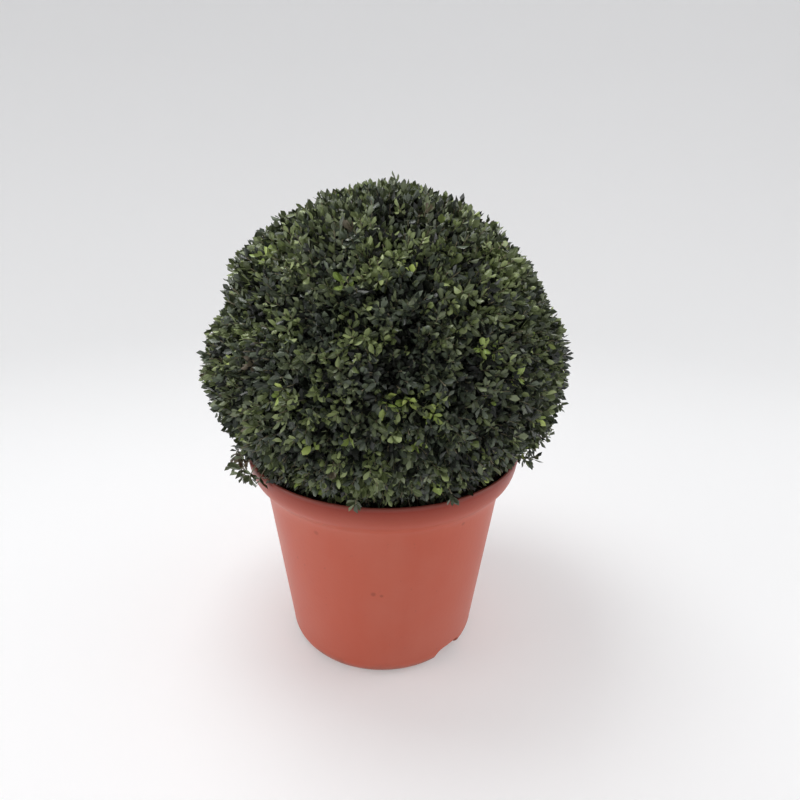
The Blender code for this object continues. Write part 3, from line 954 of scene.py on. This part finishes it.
def stem_limb():
    """The stem from its flat foot through the root flare to the top of the fork's knob."""
    top = FORK.z + FORK_RADIUS * KNOB_TOP
    points = []
    radii = []
    for i in range(STEM_POINTS):
        height = STEM_FOOT + (top - STEM_FOOT) * i / (STEM_POINTS - 1)
        flare = (FLARE_RADIUS - STEM_RADIUS) * math.exp(-3 * (height - STEM_FOOT) / FLARE_HEIGHT)
        level = (height - FORK.z) / FORK_RADIUS
        knob = FORK_RADIUS * math.sqrt(max(0, 1 - level * level))
        points.append(Vector((0, 0, height)))
        radii.append(knob if level > 0 else max(STEM_RADIUS + flare, knob))
    stem = Limb(points, STEM_RADIUS, STEM_RADIUS)
    stem.radii = radii
    return stem


boughs = grow_boughs()
print("boughs:", len(boughs), "tips at", [round(b.points[-1].z * 1000) for b in boughs], "mm")

# %% [markdown]
# Three more tiers fill the space. Branches stop deep inside the crown. Twigs carry them out to
# where the light begins. Shoots are this year's growth, a few centimetres long, and bear the
# leaves. No cut is quite even, so their tips stand a little high or low in tufts, and one in ten
# has grown on since. A handful of stray shoots that the shears missed stand out past the surface,
# and a few more hang over the lip of the pot.

# %% Branches, twigs and shoots
SEED = 7
# Of each tier: how many tips, their share of the reach, and how far they wander from it
BRANCH_TIPS = {"count": 34, "share": 0.55, "spread": 0.03, "jitter": 0.35}
TWIG_TIPS = {"count": 260, "share": 0.79, "spread": 0.05, "jitter": 0.45}
SHOOT_TIPS = {"count": 6700, "share": 0.935, "spread": 0.045, "jitter": 0.75}
# Of each tier: where a limb leaves its parent, its thick and thin radius, and its points
BRANCH_LIMBS = {"leave_after": 0.8, "sizes": (0.0025, 0.0017), "count": 9}
TWIG_LIMBS = {"leave_after": 0.45, "sizes": (0.0015, 0.0009), "count": 7}
SHOOT_LIMBS = {"leave_after": 0.4, "sizes": (0.0008, 0.00045), "count": 4}
STRAY_LIMBS = {"leave_after": 0.4, "sizes": (0.0009, 0.0005), "count": 6}
REGROWN_SHARE = 0.10
REGROWTH = 0.006
TUFT_HEIGHT = 0.007
TUFT_SIZE = 0.030
# Azimuth in degrees, height of the tip, and how far it stands out past the surface
STRAY_SHOOTS = (
    (-20, 0.276, 0.008),
    (-27, 0.247, 0.014),
    (-14, 0.250, 0.012),
    (-152, 0.246, 0.014),
    (150, 0.262, 0.008),
)
# Shoots that hang over the lip: azimuth in degrees, radius and height of the tip
HANGING_SHOOTS = (
    (-163, 0.158, 0.232), (-159, 0.154, 0.227), (-156, 0.163, 0.229), (-152, 0.156, 0.221),
    (-149, 0.161, 0.231), (-146, 0.154, 0.226), (-143, 0.158, 0.233), (-139, 0.153, 0.232),
    (-12, 0.174, 0.262), (-27, 0.167, 0.252), (-64, 0.150, 0.239), (-98, 0.149, 0.238),
    (64, 0.155, 0.236), (141, 0.154, 0.234),
)
# How far out from the lip and how far above it these shoots start and bend over
HANG_FROM = (-0.012, 0.020)
HANG_OVER = (0.001, 0.011)
HANGING_POINTS = 8


def hanging_shoot(azimuth, radius, height, twigs, chance):
    """A shoot that leaves the ball above the lip, bends over it and ends outside the pot."""
    way = direction_of(azimuth, 0)
    tip = way * radius + UP * height
    above = way * (RIM_RADIUS + HANG_FROM[0]) + UP * (POT_HEIGHT + HANG_FROM[1])
    over = way * (radius + HANG_OVER[0]) + UP * (POT_HEIGHT + HANG_OVER[1])
    parent = nearest_limb(above, twigs)
    start, _, _ = parent.at(chance.uniform(0.5, 1))
    points = bezier(start, above, over, tip, HANGING_POINTS)
    shoot = Limb(points, *STRAY_LIMBS["sizes"], HANGING)
    shoot.parent = parent
    return shoot


def stray_tip(azimuth, height, stray):
    """The tip of a stray shoot, a little past the clipped surface at that height."""
    level = (height - CROWN_CENTRE.z) / CROWN_DROP
    flat = CROWN_RADIUS * (1 - abs(level) ** CROWN_POWER) ** (1 / CROWN_POWER)
    direction = (direction_of(azimuth, 0) * flat + UP * (height - CROWN_CENTRE.z)).normalized()
    return CROWN_CENTRE + direction * (reach(direction) + stray / 3)


chance = random.Random(SEED)
tips = spread_tips(**BRANCH_TIPS, chance=chance)
branches = [limb_to(tip, boughs, **BRANCH_LIMBS, chance=chance) for tip in tips]
tips = spread_tips(**TWIG_TIPS, chance=chance)
twigs = [limb_to(tip, branches, **TWIG_LIMBS, chance=chance) for tip in tips]
shoots = []
for tip in spread_tips(**SHOOT_TIPS, chance=chance):
    grown_on = TUFT_HEIGHT * noise.noise(tip / TUFT_SIZE)
    if chance.random() < REGROWN_SHARE:
        grown_on += chance.uniform(0, REGROWTH)
    tip += outward_of(tip) * grown_on
    shoots.append(limb_to(tip, twigs, **SHOOT_LIMBS, chance=chance, stray=grown_on))
for azimuth, height, stray in STRAY_SHOOTS:
    tip = stray_tip(azimuth, height, stray)
    shoots.append(limb_to(tip, twigs, **STRAY_LIMBS, chance=chance, stray=stray))
for azimuth, radius, height in HANGING_SHOOTS:
    shoots.append(hanging_shoot(azimuth, radius, height, twigs, chance))
print(f"{len(branches)} branches, {len(twigs)} twigs, {len(shoots)} shoots")

# %% [markdown]
# ## Bark
#
# Stem and boughs have thin grey-brown bark with shallow upright furrows. A pipe with a bump map
# would keep a round outline, so one Geometry Nodes tree sweeps a ring along each limb and then
# pushes the surface in and out by noise. The same tree, with fewer sides and no relief, makes
# the thousands of thin twigs.


# %% A tree that sweeps limbs
def limb_tree():
    number = "NodeSocketFloat"
    inputs = [
        ("Sides", "NodeSocketInt", 5),
        ("Furrow Depth", number, 0.0),
        ("Furrow Scale", number, 300.0),
        ("Material", "NodeSocketMaterial", None),
    ]
    tree, given, result = geometry_tree("limbs", inputs)
    curves = place(tree, "GeometryNodeMeshToCurve", {"Mesh": given["Geometry"]}).outputs[0]
    ring = {"Resolution": given["Sides"], "Radius": 1.0}
    ring = place(tree, "GeometryNodeCurvePrimitiveCircle", ring).outputs[0]
    radius = stored(tree, "limb_radius")
    swept = {"Curve": curves, "Profile Curve": ring, "Scale": radius, "Fill Caps": True}
    swept = place(tree, "GeometryNodeCurveToMesh", swept).outputs[0]
    squeezed = vector_maths(tree, "MULTIPLY", where(tree), (1, 1, 0.25))
    furrows = clouds(tree, squeezed, given["Furrow Scale"], 2.0)
    depth = maths(tree, "SUBTRACT", furrows, 0.55)
    depth = maths(tree, "MULTIPLY", depth, given["Furrow Depth"])
    normal = place(tree, "GeometryNodeInputNormal").outputs[0]
    push = {"Geometry": swept, "Offset": vector_maths(tree, "SCALE", normal, depth)}
    moved = place(tree, "GeometryNodeSetPosition", push).outputs[0]
    return close_tree(tree, moved, given, result)


LIMB_TREE = limb_tree()


def skeleton(limbs):
    """A mesh of the limbs' centre lines, with the radius kept at each point."""
    points = []
    edges = []
    radii = []
    for limb in limbs:
        first = len(points)
        points += [tuple(point) for point in limb.points]
        radii += limb.radii
        edges += [(i, i + 1) for i in range(first, len(points) - 1)]
    mesh = bpy.data.meshes.new("skeleton")
    mesh.from_pydata(points, edges, [])
    mesh.attributes.new("limb_radius", "FLOAT", "POINT").data.foreach_set("value", radii)
    return mesh


def refined(limb, step):
    """The limb with its points no further apart than a step, for relief to work on."""
    count = max(3, int(limb.length / step) + 1)
    samples = [limb.at(i / (count - 1)) for i in range(count)]
    result = Limb([sample[0] for sample in samples], 0, 0)
    result.radii = [sample[2] for sample in samples]
    return result


# %% Bark materials
def bark(name, main, patch, rough, scale, relief):
    finish, tree, shader, spot = started(name, 0.3)
    stretched = place(tree, "ShaderNodeMapping", {"Vector": spot, "Scale": (1, 1, 0.4)}).outputs[0]
    colour = mottled(tree, shader, stretched, main, patch, scale, 0.14, rough, 0.15)
    tree.links.new(colour, shader.inputs["Base Color"])
    grained(tree, shader, stretched, scale * 2, relief)
    return finish


BARK = bark("holly_bark", (0.17, 0.135, 0.10), (0.075, 0.055, 0.04), 0.85, 220.0, 0.0008)
TWIG_BARK = bark("twig_bark", (0.32, 0.28, 0.19), (0.16, 0.14, 0.085), 0.6, 160.0, 0.0002)

# %% Stem, boughs, branches and twigs
# Of each piece: the nodes that it stands for, its limbs, the greatest step between their points,
# the sides of the ring, and the depth and scale of its furrows
BOUGH_NODES = [f"bough_{index + 1}" for index in range(BOUGH_COUNT)]
BARK_PIECES = (
    ("stem_bark", ["main_stem"], [stem_limb()], 0.0008, 40, 0.0022, 330.0),
    ("bough_bark", BOUGH_NODES, boughs, 0.0012, 18, 0.0012, 420.0),
    ("branches", ["clipped_crown"], branches, 0.003, 9, 0.0006, 500.0),
)
for name, nodes, limbs, step, sides, depth, scale in BARK_PIECES:
    lines = skeleton([refined(limb, step) for limb in limbs])
    values = {"Sides": sides, "Furrow Depth": depth, "Furrow Scale": scale, "Material": BARK}
    declare(grown(name, lines, LIMB_TREE, values), "holly_bark", *nodes)
for name, limbs, sides in (("twigs", twigs, 5), ("shoots", shoots, 3)):
    values = {"Sides": sides, "Material": TWIG_BARK}
    declare(grown(name, skeleton(limbs), LIMB_TREE, values), "holly_bark", "clipped_crown")

# %% [markdown]
# ## Leaves
#
# The leaves are about 1 cm long, oval and a little cupped, with their broadest part past the
# middle. They stand round each shoot by the golden angle. A leaf's upper side looks towards the
# tip of its shoot and the light, so glossy upper sides cover the outside of the ball. A leaf
# that would leave the space is skipped, as the shears would have cut it. Only the outer 3 cm
# bear leaves, because the inside of a clipped ball is too dark for them.

# %% Where the leaves go
LEAF_LENGTH = 0.0096
LEAF_SIZES = (0.60, 1.25)
YOUNG_SIZE = 1.1
LEAF_PITCH = 0.0015
BARE_SHARE = 0.22
SIDE_LEAN = (0.80, 1.25)
TIP_LEAN = (0.15, 0.6)
TIP_PART = 0.9  # the share of a shoot past which its leaves lean as at the tip
LEAF_TWIST = 1.15
TURN_WANDER = 0.3
LEAF_MIDDLE = 0.6  # the share of a leaf's length where it is broadest
FACE_OUTWARD = 0.2
FACE_UP = 0.15
LEAFY_DEPTH = 0.030


def depth_of(point):
    """How deep a point lies under the clipped surface."""
    offset = point - CROWN_CENTRE
    return reach(offset.normalized()) - offset.length


def leaves_of(limb, bare, chance, size=1.0):
    """(root, along, face, length) for each leaf of a limb, from its bare foot to its tip."""
    leaves = []
    count = max(2, int(limb.length * (1 - bare) / LEAF_PITCH))
    turn = chance.uniform(0, math.tau)
    for i in range(count + 1):
        share = i / count
        root, ahead, radius = limb.at(bare + (1 - bare) * share)
        if depth_of(root) > LEAFY_DEPTH:
            continue
        turn += GOLDEN_ANGLE + chance.uniform(-TURN_WANDER, TURN_WANDER)
        helper = UP if abs(ahead.z) < 0.9 else Vector((1, 0, 0))
        away = Matrix.Rotation(turn, 3, ahead) @ ahead.cross(helper).normalized()
        lean = chance.uniform(*(TIP_LEAN if share > TIP_PART else SIDE_LEAN))
        along = ahead * math.cos(lean) + away * math.sin(lean)
        face = ahead * math.sin(lean) - away * math.cos(lean)
        face += outward_of(root) * FACE_OUTWARD + UP * FACE_UP
        face = Matrix.Rotation(chance.uniform(-LEAF_TWIST, LEAF_TWIST), 3, along) @ face
        length = LEAF_LENGTH * size * chance.uniform(*LEAF_SIZES)
        end = root + along * length
        middle = root + along * length * LEAF_MIDDLE
        if in_space(end, limb.stray) and in_space(middle, limb.stray):
            leaves.append((root + away * radius * 0.5, along, face, length))
    return leaves


# %% [markdown]
# The colours are dealt out by spray. Most shoots are deep or middle green, and a third of them
# share the tone of their twig. Shoots on the top and the sides more often step to a fresher green
# than those low at the front, partly fresher growth where more light falls and partly painted
# light. Leaves well under the surface take the darkest tone, a painted shade, and are larger, to
# close the ball to the eye. A few young flushes are yellow green and a few sprays have dried. Low
# on the left the ball rubbed against something and most leaves are gone. Each tone is a piece of
# its own.

# %% Dealing out the colours
# Azimuth and elevation in degrees of the young flushes
FLUSHES = (
    (-121, 53), (-104, 41), (-49, 64), (-80, 45), (-54, 20), (-46, 11), (-82, 10), (-76, 6),
    (-60, 6), (-56, 6), (-105, 11), (-118, 8), (-132, 4), (-88, 7), (-111, -4), (-98, -1),
    (-113, -25), (-82, -32), (-79, -3), (-50, -26), (20, 30), (48, -12), (75, 22), (95, 55),
    (118, -6), (141, 35), (162, 8), (15, -18), (100, 14),
)
YOUNG_ONE_IN = 120
TONES = ("shade", "deep", "middle", "fresh")
TONE_WEIGHTS = (0.18, 0.38, 0.28, 0.16)
TWIG_TONE_SHARE = 0.33
PAINTED_LIGHT_AND_GROWTH_STEP = 0.7
DRY_ONE_IN = 260
DRY_PLACES = (
    (-150, -30), (-146, -36), (-155, -26), (-140, -33), (-70, -38), (30, -35), (110, -30),
)
HANGING_TONES = ("deep", "middle", "middle", "dry")


def painted_light_and_growth(direction):
    """1 on the top and the sides of the ball and 0 low at the front: partly fresher growth where the
    most light falls, partly painted light.
    """
    return max(0, min(1, 0.10 + 0.95 * direction.z + 0.34 * abs(direction.x) + 0.25 * direction.y))


def deal_tones(shoots, twigs, chance):
    """A third of the shoots take their twig's tone, and the others a tone of their own."""
    tone_of = {twig: chance.choices(range(len(TONES)), TONE_WEIGHTS)[0] for twig in twigs}
    tones = []
    for shoot in shoots:
        own = chance.choices(range(len(TONES)), TONE_WEIGHTS)[0]
        tone = tone_of[shoot.parent] if chance.random() < TWIG_TONE_SHARE else own
        # Painted light, partly real growth: shoots on the top and the sides step to a lighter tone
        tone += chance.random() < painted_light_and_growth(outward_of(shoot.points[-1])) * PAINTED_LIGHT_AND_GROWTH_STEP
        tone = TONES[max(0, min(len(TONES) - 1, tone))]
        if chance.random() < 1 / YOUNG_ONE_IN:
            tone = "young"
        if chance.random() < 1 / DRY_ONE_IN:
            tone = "dry"
        if shoot.stray == HANGING:
            tone = chance.choice(HANGING_TONES)
        tones.append(tone)
    for tone, places in (("young", FLUSHES), ("dry", DRY_PLACES)):
        for azimuth, elevation in places:
            middle = direction_of(azimuth, elevation)
            ends = [outward_of(shoot.points[-1]).angle(middle) for shoot in shoots]
            tones[ends.index(min(ends))] = tone
    return tones


# Azimuth and elevation in degrees of the places where the ball rubbed bare, and their spread
RUBBED_PLACES = ((-146, -28), (-152, -22), (-138, -34))
RUBBED_SPREAD = math.radians(8)
RUBBED_SHARE = 0.85
SHADE_DEPTH = 0.019
SHADE_SIZE = 1.3
BARE_TWIG_SHARE = 0.5


def rubbed(shoot):
    """Whether a shoot ends where the ball rubbed bare."""
    end = outward_of(shoot.points[-1])
    return any(end.angle(direction_of(a, e)) < RUBBED_SPREAD for a, e in RUBBED_PLACES)


chance = random.Random(SEED + 1)
leaves = {tone: [] for tone in (*TONES, "young", "dry")}
for shoot, tone in zip(shoots, deal_tones(shoots, twigs, chance)):
    bare = RUBBED_SHARE if rubbed(shoot) else BARE_SHARE
    for leaf in leaves_of(shoot, bare, chance, YOUNG_SIZE if tone == "young" else 1):
        root, along, face, length = leaf
        if depth_of(root) > SHADE_DEPTH:
            leaves["shade"].append((root, along, face, length * SHADE_SIZE))
        else:
            leaves[tone].append(leaf)
for twig in twigs:
    leaves["shade"] += leaves_of(twig, BARE_TWIG_SHARE, chance)
print({tone: len(placed) for tone, placed in leaves.items()})


# %% [markdown]
# One Geometry Nodes tree makes the leaves. It draws a single leaf from a small grid, by a rule
# for its outline with named sizes, and sets a copy on every point, turned by the two directions
# that are stored there. A random width, cup and tint keep the copies from looking alike.


# %% A tree that draws and sets leaves
def leaf_grid(tree, rows):
    """A flat grid with its UV map, and its coordinates along and across the leaf."""
    grid = {"Size X": 1.0, "Size Y": 2.0, "Vertices X": rows, "Vertices Y": 3}
    grid = place(tree, "GeometryNodeMeshGrid", grid)
    kept = {"Geometry": grid.outputs["Mesh"], "Name": "leaf_uv", "Value": grid.outputs["UV Map"]}
    options = {"data_type": "FLOAT2", "domain": "CORNER"}
    kept = place(tree, "GeometryNodeStoreNamedAttribute", kept, **options).outputs[0]
    spot = coordinates(tree, where(tree))
    return kept, maths(tree, "ADD", spot["X"], 0.5), spot["Y"]


def leaf_tree():
    number = "NodeSocketFloat"
    inputs = [
        ("Rows", "NodeSocketInt", 5),
        ("Width", number, 0.52),
        ("Cup", number, 0.15),
        ("Arch", number, 0.12),
        ("Broadest", number, 1.35),
        ("Seed", "NodeSocketInt", 5),
        ("Material", "NodeSocketMaterial", None),
    ]
    tree, given, result = geometry_tree("leaves", inputs)
    leaf, u, v = leaf_grid(tree, given["Rows"])
    bulge = maths(tree, "POWER", u, given["Broadest"])
    bulge = maths(tree, "SINE", maths(tree, "MULTIPLY", bulge, math.pi))
    bulge = maths(tree, "POWER", maths(tree, "MAXIMUM", bulge, 0.0), 0.8)
    half = maths(tree, "MULTIPLY", maths(tree, "MULTIPLY", bulge, given["Width"]), 0.5)
    cup = maths(tree, "MULTIPLY", maths(tree, "MULTIPLY", v, v), given["Cup"])
    cup = maths(tree, "MULTIPLY", cup, bulge)
    arch = maths(tree, "MULTIPLY", maths(tree, "MULTIPLY", u, u), given["Arch"])
    drop = maths(tree, "MULTIPLY", maths(tree, "ADD", cup, arch), -1.0)
    outline = {0: u, 1: maths(tree, "MULTIPLY", v, half), 2: drop}
    outline = place(tree, "ShaderNodeCombineXYZ", outline).outputs[0]
    leaf = {"Geometry": leaf, "Position": outline}
    leaf = {"Geometry": place(tree, "GeometryNodeSetPosition", leaf).outputs[0], "Distance": 0.001}
    leaf = place(tree, "GeometryNodeMergeByDistance", leaf).outputs[0]
    turn = {
        "Primary Axis": stored(tree, "along", "FLOAT_VECTOR"),
        "Secondary Axis": stored(tree, "face", "FLOAT_VECTOR"),
    }
    turn = place(tree, "FunctionNodeAxesToRotation", turn, primary_axis="X", secondary_axis="Z")
    vary = {0: (0.95, 0.85, -0.2), 1: (1.05, 1.15, 1.8), "Seed": given["Seed"]}
    vary = place(tree, "FunctionNodeRandomValue", vary, data_type="FLOAT_VECTOR").outputs[0]
    put = {
        "Points": given["Geometry"],
        "Instance": leaf,
        "Rotation": turn.outputs[0],
        "Scale": vector_maths(tree, "SCALE", vary, stored(tree, "length")),
    }
    put = place(tree, "GeometryNodeInstanceOnPoints", put).outputs[0]
    tint = place(tree, "FunctionNodeRandomValue", {"Seed": given["Seed"]}).outputs[1]
    tinted = {"Geometry": put, "Name": "leaf_tint", "Value": tint}
    tinted = place(tree, "GeometryNodeStoreNamedAttribute", tinted, domain="INSTANCE").outputs[0]
    return close_tree(tree, tinted, given, result)


LEAF_TREE = leaf_tree()


def leaf_points(placed):
    """A mesh of loose points that carries each leaf's two directions and its length."""
    mesh = bpy.data.meshes.new("leaf_points")
    mesh.from_pydata([tuple(leaf[0]) for leaf in placed], [], [])
    for name, index in (("along", 1), ("face", 2)):
        values = np.array([leaf[index] for leaf in placed], dtype=np.float32).ravel()
        mesh.attributes.new(name, "FLOAT_VECTOR", "POINT").data.foreach_set("vector", values)
    lengths = [leaf[3] for leaf in placed]
    mesh.attributes.new("length", "FLOAT", "POINT").data.foreach_set("value", lengths)
    return mesh


# %% [markdown]
# ### Leaf materials
#
# A holly leaf is leathery and glossy on top, with a slightly paler midrib, and dull and paler
# underneath. The group works out the upper side: it moves the tone by each leaf's tint, lightens
# the midrib along the leaf's own UV map, and lets faint veins move its height and its gloss. The
# underside comes from Backfacing, which stays in the material itself.


# %% Leaf surface group and materials
TINT_CURVE = 1.7
RIB_EDGES = (0.02, 0.10)
RIB_SHARE = 0.55
RIB_DEPTH = 0.0001
VEIN_HEIGHT = 0.00006


def build_leaf_surface():
    colour = "NodeSocketColor"
    number = "NodeSocketFloat"
    inputs = [
        ("UV", "NodeSocketVector", None),
        ("Tint", number, 0.5),
        ("Dark Colour", colour, (0.02, 0.03, 0.015, 1)),
        ("Light Colour", colour, (0.04, 0.05, 0.02, 1)),
        ("Rib Colour", colour, (0.1, 0.12, 0.05, 1)),
        ("Roughness", number, 0.35),
    ]
    outputs = [("Colour", colour), ("Roughness", number), ("Height", number)]
    tree, given, result = new_tree("leaf_surface", "ShaderNodeTree", inputs, outputs)
    bright = maths(tree, "POWER", given["Tint"], TINT_CURVE)
    blade = mixed(tree, bright, given["Dark Colour"], given["Light Colour"])
    off = maths(tree, "ABSOLUTE", maths(tree, "SUBTRACT", coordinates(tree, given["UV"])["Y"], 0.5))
    rib = ranged(tree, off, *RIB_EDGES, RIB_SHARE, 0.0)
    ribbed = mixed(tree, rib, blade, given["Rib Colour"])
    veins = {"Vector": given["UV"], "Scale": 7.0, "Distortion": 1.5}
    veins = place(tree, "ShaderNodeTexWave", veins).outputs["Fac"]
    groove = maths(tree, "MULTIPLY", rib, -RIB_DEPTH)
    height = maths(tree, "ADD", maths(tree, "MULTIPLY", veins, VEIN_HEIGHT), groove)
    gloss = maths(tree, "MULTIPLY", maths(tree, "SUBTRACT", veins, 0.5), 0.08)
    tree.links.new(ribbed, result["Colour"])
    tree.links.new(maths(tree, "ADD", given["Roughness"], gloss), result["Roughness"])
    tree.links.new(height, result["Height"])
    return tree


LEAF_SURFACE = build_leaf_surface()


def leaf_material(name, dark, light, rib, under, roughness):
    finish, tree, shader, _ = started(name)
    upper = {
        "UV": place(tree, "ShaderNodeAttribute", attribute_name="leaf_uv").outputs["Vector"],
        "Tint": place(tree, "ShaderNodeAttribute", attribute_name="leaf_tint").outputs["Fac"],
        "Dark Colour": (*dark, 1),
        "Light Colour": (*light, 1),
        "Rib Colour": (*rib, 1),
        "Roughness": roughness,
    }
    upper = group(tree, LEAF_SURFACE, upper)
    behind = place(tree, "ShaderNodeNewGeometry").outputs["Backfacing"]
    colour = mixed(tree, behind, upper["Colour"], (*under, 1))
    tree.links.new(colour, shader.inputs["Base Color"])
    tree.links.new(upper["Roughness"], shader.inputs["Roughness"])
    raise_bump(tree, shader, upper["Height"], 0.6)
    return finish


# Dark end and light end of the tint, midrib, underside, roughness, and rows of the leaf's grid
LEAF_FINISHES = {
    "shade": (
        (0.007, 0.009, 0.006), (0.020, 0.025, 0.016), (0.025, 0.03, 0.017), (0.030, 0.036, 0.020),
        0.42, 3,
    ),
    "deep": (
        (0.018, 0.025, 0.017), (0.120, 0.149, 0.098), (0.10, 0.115, 0.07), (0.075, 0.09, 0.05),
        0.27, 4,
    ),
    "middle": (
        (0.043, 0.056, 0.028), (0.245, 0.288, 0.152), (0.19, 0.215, 0.125), (0.14, 0.165, 0.085),
        0.25, 4,
    ),
    "fresh": (
        (0.092, 0.119, 0.042), (0.355, 0.425, 0.170), (0.31, 0.36, 0.18), (0.22, 0.26, 0.12),
        0.28, 5,
    ),
    "young": (
        (0.22, 0.31, 0.060), (0.52, 0.62, 0.18), (0.46, 0.54, 0.20), (0.36, 0.43, 0.15),
        0.36, 5,
    ),
    "dry": (
        (0.11, 0.088, 0.058), (0.26, 0.225, 0.160), (0.28, 0.24, 0.165), (0.22, 0.18, 0.12),
        0.60, 5,
    ),
}

for index, (tone, placed) in enumerate(leaves.items()):
    *colours, roughness, rows = LEAF_FINISHES[tone]
    finish = leaf_material(f"leaf_{tone}", *colours, roughness)
    values = {"Rows": rows, "Seed": index + 1, "Material": finish}
    piece = grown(f"leaves_{tone}", leaf_points(placed), LEAF_TREE, values)
    declare(piece, "holly_foliage", "clipped_crown")
